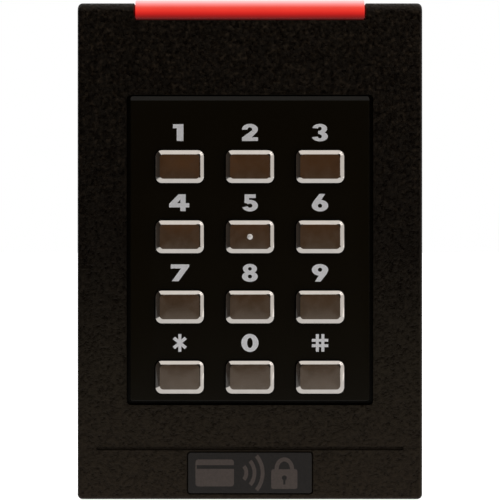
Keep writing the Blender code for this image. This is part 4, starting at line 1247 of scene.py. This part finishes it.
# %% Lamps
REFLECTOR = [(0, -0.7), (0.8, -0.7), (1.1, 0.1), (0, 0.1)]
LENS = [(0, -0.8), (0.75, -0.8), (1.0, -0.15), (0.6, -0.06), (0, -0.02)]
for number in range(1, 5):
    lamp_middle, lamp_half, lamp_back, lamp_front = limits(f"status_led_{number}")
    lamp_place = (lamp_middle.x, lamp_middle.z)
    case = make_piece(f"lamp_case_{number}", slab(lamp_half.x, lamp_half.z, 0.2 * MM, lamp_back, lamp_front,
                                                  lamp_place, 2),
                      led_white, instead_of=[f"status_led_{number}"])
    carve(case, *turned_at([lamp_place], REFLECTOR, lamp_front, 24))
    make_piece(f"lamp_lens_{number}", *turned_at([lamp_place], LENS, lamp_front, 24), led_lens,
               slot="led_white")
print("Four lamps feed the light bar")

# %% [markdown]
# ## The back
# A moulded cover closes the electronics and is held by four screws. The installer's wires come through the
# wall plate's windows to a terminal block that looks out of the cover. The cover is a shallow tray: ribs
# stiffen it, and it is cut away for the block, the sensor and the plate's tab.

# %% Rear cover
_, cover_half, cover_back, _ = limits("rear_cover")
COVER_FRONT = 10.0 * MM
TRAY_FLOOR = 8.4 * MM
LIP = 1.4 * MM
POST = 3.5 * MM
cover = make_piece("cover_tray", slab(cover_half.x, cover_half.z, 0.8 * MM, cover_back, COVER_FRONT),
                   cover_black, instead_of=["rear_cover"])
carve(cover, slab(cover_half.x - LIP, cover_half.z - LIP, 1 * MM, 0, TRAY_FLOOR))
RIBS = [((-24.5, -23.5), (-50, -38)), ((-24.5, -23.5), (-33, 0)), ((-24.5, -23.5), (18, 50)),
        ((23.5, 24.5), (-50, -38)), ((23.5, 24.5), (-14, 0)), ((23.5, 24.5), (18, 50)),
        ((-22, 22), (-36, -35)), ((-22, 22), (35, 36)), ((-22, 22), (-10.5, -9.5)),
        ((-0.5, 0.5), (-33, -12)), ((-0.5, 0.5), (18, 34))]
ribs = [brick([x * MM for x in across], (cover_back + 0.2 * MM, TRAY_FLOOR + 0.3 * MM), [z * MM for z in up])
        for across, up in RIBS]
posts = rods(BOSSES, POST, COVER_FRONT - 1 * MM, main_back - FIT)
carve(cover, *ribs, *posts, operation="UNION")
gap = brick((-21.3 * MM, 21.3 * MM), (TRAY_FLOOR - WALL, main_back), (5 * MM, 15 * MM))
sensor_gap = brick((27.2 * MM, 32.8 * MM), (TRAY_FLOOR - WALL, main_back), (-22.5 * MM, -17.5 * MM))
notch_for_tab = brick((-7.6 * MM, 7.6 * MM), (0, TRAY_FLOOR - 0.1 * MM), (-60 * MM, 4 * MM - cover_half.z))
carve(cover, gap, sensor_gap, notch_for_tab, *rods(BOSSES, BOSS_HOLE, 0, main_back))
soften(cover, 0.15 * MM)
print("The cover has", len(RIBS), "ribs")

# %% [markdown]
# Screws are turned: a domed head, a shank with ridges, and a recess cut into the head. The recesses of the
# terminal screws stand at different angles, as they would after wiring.

# %% Screws
def ridges(radius, start, stop, pitch=0.5 * MM):
    """The profile of a threaded shank, as a row of ridges."""
    points = []
    for number in range(int((stop - start) / pitch)):
        height = start + number * pitch
        points += [(radius * 0.88, height), (radius, height + pitch / 2)]
    return points + [(radius * 0.88, stop)]


def turned_about(shape, x, z, degrees):
    turn = Matrix.Rotation(math.radians(degrees), 3, "Y")
    bmesh.ops.rotate(shape, cent=(x, 0, z), matrix=turn, verts=shape.verts)
    return shape


PAN_HEAD = [(0, 0.0), (1.2, 0.04), (2.1, 0.25), (2.55, 0.75), (2.6, 1.0), (2.6, 1.4), (1.3, 1.4)]
PAN_THREAD = 1.3 * MM
for number in range(1, 5):
    screw_middle, _, screw_back, screw_tip = limits(f"cover_screw_{number}")
    screw_place = (screw_middle.x, screw_middle.z)
    profile = [(radius * MM, screw_back + height * MM) for radius, height in PAN_HEAD]
    profile += ridges(PAN_THREAD, screw_back + 1.6 * MM, screw_tip - 1.2 * MM)
    profile += [(0.4 * MM, screw_tip - 0.2 * MM), (0, screw_tip)]
    screw = make_piece(f"pan_screw_{number}", lathe(profile, facing(screw_middle.x, 0, screw_middle.z)),
                       zinc_steel, instead_of=[f"cover_screw_{number}"])
    for degrees in (20 * number, 20 * number + 90):
        recess = slab(1.45 * MM, 0.33 * MM, 0.1 * MM, screw_back - WALL, screw_back + 0.95 * MM,
                      screw_place, 2)
        carve(screw, turned_about(recess, *screw_place, degrees))

# %% Terminal block
block_middle, block_half, block_back, block_front = limits("terminal_block")
POLES = 8
POLE_PITCH = 5.08 * MM
SCREW_Z = block_middle.z - 1 * MM
SEAM = 0.15 * MM
pole_places = [(number - (POLES - 1) / 2) * POLE_PITCH for number in range(POLES)]
strip = slab(block_half.x, block_half.z, 0.1 * MM, block_back, block_front, (0, block_middle.z), 2)
terminals = make_piece("terminal_strip", strip, terminal_green, instead_of=["terminal_block"])
WELL = [(0, -1 * MM), (2.0 * MM, -1 * MM), (2.0 * MM, block_back + 0.1 * MM),
        (1.8 * MM, block_back + 0.4 * MM), (1.8 * MM, block_back + 3.4 * MM), (0, block_back + 3.4 * MM)]
wells = [lathe(WELL, facing(x, 0, SCREW_Z), 24) for x in pole_places]
entries = [brick((x - 1.7 * MM, x + 1.7 * MM), (block_back + 3.6 * MM, block_back + 6.6 * MM),
                 (SCREW_Z, block_middle.z + 6 * MM)) for x in pole_places]
between = [x + POLE_PITCH / 2 for x in pole_places[:-1]]
block_top = block_middle.z + block_half.z
back_seams = [brick((x - SEAM, x + SEAM), (block_back - WALL, block_back + 0.5 * MM),
                    (block_middle.z - 6 * MM, block_middle.z + 6 * MM)) for x in between]
top_seams = [brick((x - SEAM, x + SEAM), (block_back - WALL, block_front + WALL),
                   (block_top - 0.4 * MM, block_top + 1 * MM)) for x in between]
carve(terminals, gather(wells), gather(entries), gather(back_seams), gather(top_seams))
soften(terminals, 0.12 * MM)
for number, x in enumerate(pole_places, start=1):
    _, _, clamp_back, clamp_front = limits(f"terminal_screw_{number}")
    profile = [(0, clamp_back), (1.3 * MM, clamp_back), (1.5 * MM, clamp_back + 0.2 * MM),
               (1.5 * MM, clamp_front), (0, clamp_front)]
    clamp = make_piece(f"clamp_screw_{number}", lathe(profile, facing(x, 0, SCREW_Z), 24), zinc_steel,
                       instead_of=[f"terminal_screw_{number}"])
    recess = slab(1.7 * MM, 0.3 * MM, 0.1 * MM, 0, clamp_back + 0.7 * MM, (x, SCREW_Z), 2)
    carve(clamp, turned_about(recess, x, SCREW_Z, 37 * number % 90 - 45))
print("The strip has", POLES, "poles")

# %% [markdown]
# ## The wall plate
# The plate screws to the wall box. Its slots fit two common boxes, its windows let the wires through, hooks
# at the top carry the reader, and a screw from below locks it to a nut on the plate's tab. The wall side is
# cored out with shallow pockets, as a moulding of this thickness would be.

# %% Plate
PLATE_HALF = (39.1 * MM, 57.6 * MM)
PLATE_THICK = 2.4 * MM
PLATE_CORNER = 2 * MM
PLATE_EDGE = 0.3 * MM
ROOT = 1.9 * MM
RAIL_X = 26.6 * MM
HOOK_X = 20 * MM
HOOK_FRONT = 4.7 * MM
GUSSET_X = 4.4 * MM
WINDOW_Z = 20.5 * MM
SLOT_Z = 41.65 * MM
SLOT_X = 30 * MM
SLOT = (4.5 * MM, 2 * MM)
SLOT_ROUND = 1.99 * MM
POCKET = 1.0 * MM
LOCK_DEPTH = 5.4 * MM
plate_shape = skin([(PLATE_HALF[0] - PLATE_EDGE, PLATE_HALF[1] - PLATE_EDGE, PLATE_CORNER - PLATE_EDGE, 0),
                    (*PLATE_HALF, PLATE_CORNER, PLATE_EDGE),
                    *rounded_over(*PLATE_HALF, PLATE_CORNER, PLATE_THICK, PLATE_EDGE, 3)])
wall_plate = make_piece("wall_plate", plate_shape, cover_black, instead_of=["mounting_plate"])
rails = [brick((x - 0.6 * MM, x + 0.6 * MM), (ROOT, 3.7 * MM), (-31 * MM, 31 * MM))
         for x in (-RAIL_X, RAIL_X)]
hooks = []
for x in (-HOOK_X, HOOK_X):
    hooks.append(slab(4 * MM, 2.2 * MM, 0.3 * MM, ROOT, HOOK_FRONT, (x, 55.4 * MM), 3))
    hooks.append(slab(4 * MM, 1.6 * MM, 0.4 * MM, 3.1 * MM, HOOK_FRONT, (x, 57.4 * MM), 3))
tab = slab(7 * MM, 1.2 * MM, 0.4 * MM, ROOT, 7.9 * MM, (0, -56.4 * MM), 3)
gussets = [slab(0.7 * MM, 1.5 * MM, 0.2 * MM, ROOT, 7 * MM, (x, -54.1 * MM), 3)
           for x in (-GUSSET_X, GUSSET_X)]
carve(wall_plate, *rails, *hooks, tab, *gussets, operation="UNION")
windows = [slab(25 * MM, 15.5 * MM, 3 * MM, -WALL, 3 * WALL, (0, z)) for z in (-WINDOW_Z, WINDOW_Z)]
slots = [slab(*SLOT, SLOT_ROUND, -WALL, 3 * WALL, (0, z)) for z in (-SLOT_Z, SLOT_Z)]
slots += [slab(*reversed(SLOT), SLOT_ROUND, -WALL, 3 * WALL, (x, 0)) for x in (-SLOT_X, SLOT_X)]
seats = [slab(6.8 * MM, 4.2 * MM, 4.1 * MM, 1.7 * MM, 3 * WALL, (0, z)) for z in (-SLOT_Z, SLOT_Z)]
pocket_places = [(x, z, (8.6, 5.6)) for x in (-16.5, 16.5) for z in (47.8, -47.8)]
pocket_places += [(x, z, (4.2, 6.4)) for x in (-32.6, 32.6) for z in (-48, 48)]
pocket_places += [(x, z, (4.2, 14.0)) for x in (-32.6, 32.6) for z in (-23.0, 23.0)]
pocket_places += [(x, 0, (9.0, 2.6)) for x in (-11.5, 11.5)]
pockets = [slab(half[0] * MM, half[1] * MM, 0.8 * MM, -WALL, POCKET, (x * MM, z * MM), 4)
           for x, z, half in pocket_places]
locking_hole = rod(1.55 * MM, -61 * MM, -50 * MM, upright(0, LOCK_DEPTH, 0), 24)
carve(wall_plate, *windows, *slots, *seats, gather(pockets), locking_hole)
arrow = prism([(-1.6, 50.5), (0, 53.5), (1.6, 50.5), (0.5, 50.5), (0.5, 47.0), (-0.5, 47.0), (-0.5, 50.5)])
bmesh.ops.translate(arrow, vec=(0, PANEL_FRONT, 0), verts=arrow.verts)
bmesh.ops.scale(arrow, vec=(1, 12, 1), verts=arrow.verts)
carve(wall_plate, arrow)
soften(wall_plate, 0.15 * MM)
print("The plate has", len(pockets), "pockets and", len(slots), "slots")

# %% [markdown]
# The locking screw has a hexagonal socket with a pin in it, and turns in a nut that the plate's tab holds. A
# small sensor looks through the cover at the plate, so it can tell when the reader leaves the wall.

# %% Locking screw and nut
lock_middle, lock_half, _, _ = limits("security_screw")
lock_place = upright(0, -lock_middle.y, lock_middle.z - lock_half.z)
LOCK_HEAD = [(0, 0), (2.3, 0), (2.6, 0.25), (2.6, 1.0), (1.25, 1.0)]
LOCK_THREAD = 1.25 * MM
profile = [(radius * MM, height * MM) for radius, height in LOCK_HEAD]
profile += ridges(LOCK_THREAD, 1.2 * MM, 7.7 * MM, 0.45 * MM)
profile += [(0.5 * MM, 8.2 * MM), (0, 8.3 * MM)]
lock_screw = make_piece("locking_screw", lathe(profile, lock_place), nickel_steel,
                        instead_of=["security_screw"])
carve(lock_screw, rod(1.3 * MM, -1 * MM, 0.7 * MM, lock_place, 6))
pin = lathe([(0, 0.12 * MM), (0.3 * MM, 0.12 * MM), (0.4 * MM, 0.22 * MM), (0.4 * MM, 0.9 * MM),
             (0, 0.9 * MM)], lock_place, 16)
carve(lock_screw, pin, operation="UNION")
nut_middle, nut_half, _, _ = limits("captive_nut")
nut_place = upright(0, -nut_middle.y, nut_middle.z - nut_half.z) @ Matrix.Rotation(math.radians(30), 4, "Z")
NUT_RADIUS = 5.0 * MM / math.sqrt(3)
nut = make_piece("plate_nut", lathe([(0, 0), (NUT_RADIUS * 0.9, 0), (NUT_RADIUS, 0.3 * MM),
                                     (NUT_RADIUS, 2.1 * MM), (NUT_RADIUS * 0.9, 2.4 * MM), (0, 2.4 * MM)],
                                    nut_place, 6),
                 nickel_steel, instead_of=["captive_nut"])
carve(nut, lathe([(0, -0.3 * MM), (2.0 * MM, -0.3 * MM), (1.5 * MM, 0.3 * MM), (1.5 * MM, 2.1 * MM),
                  (2.0 * MM, 2.7 * MM), (0, 2.7 * MM)], nut_place, 24))
print("The nut is", round(NUT_RADIUS * math.sqrt(3) / MM, 1), "mm across flats")

# %% Sensor
sensor_middle, sensor_half, sensor_back, sensor_front = limits("tamper_sensor")
sensor_shape = slab(sensor_half.x, sensor_half.z, 0.3 * MM, sensor_back, sensor_front,
                    (sensor_middle.x, sensor_middle.z), 3)
sensor = make_piece("sensor_body", sensor_shape, chip_black, instead_of=["tamper_sensor"])
eyes = [(sensor_middle.x + side * 1.1 * MM, sensor_middle.z) for side in (-1, 1)]
carve(sensor, gather([lathe([(0, -WALL), (0.9 * MM, -WALL), (0.8 * MM, sensor_back + 0.5 * MM),
                             (0, sensor_back + 0.5 * MM)], facing(x, 0, z), 24) for x, z in eyes]))
soften(sensor, 0.12 * MM)
EYE_LENS = [(0, 0.15), (0.45, 0.25), (0.75, 0.6), (0, 0.6)]
make_piece("sensor_lenses", gather(turned_at(eyes, EYE_LENS, sensor_back, 24)), dark_lens, slot="chip_black")
shown = [name for name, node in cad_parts.items() if not node.hide_render]
print("CAD nodes still shown:", shown)
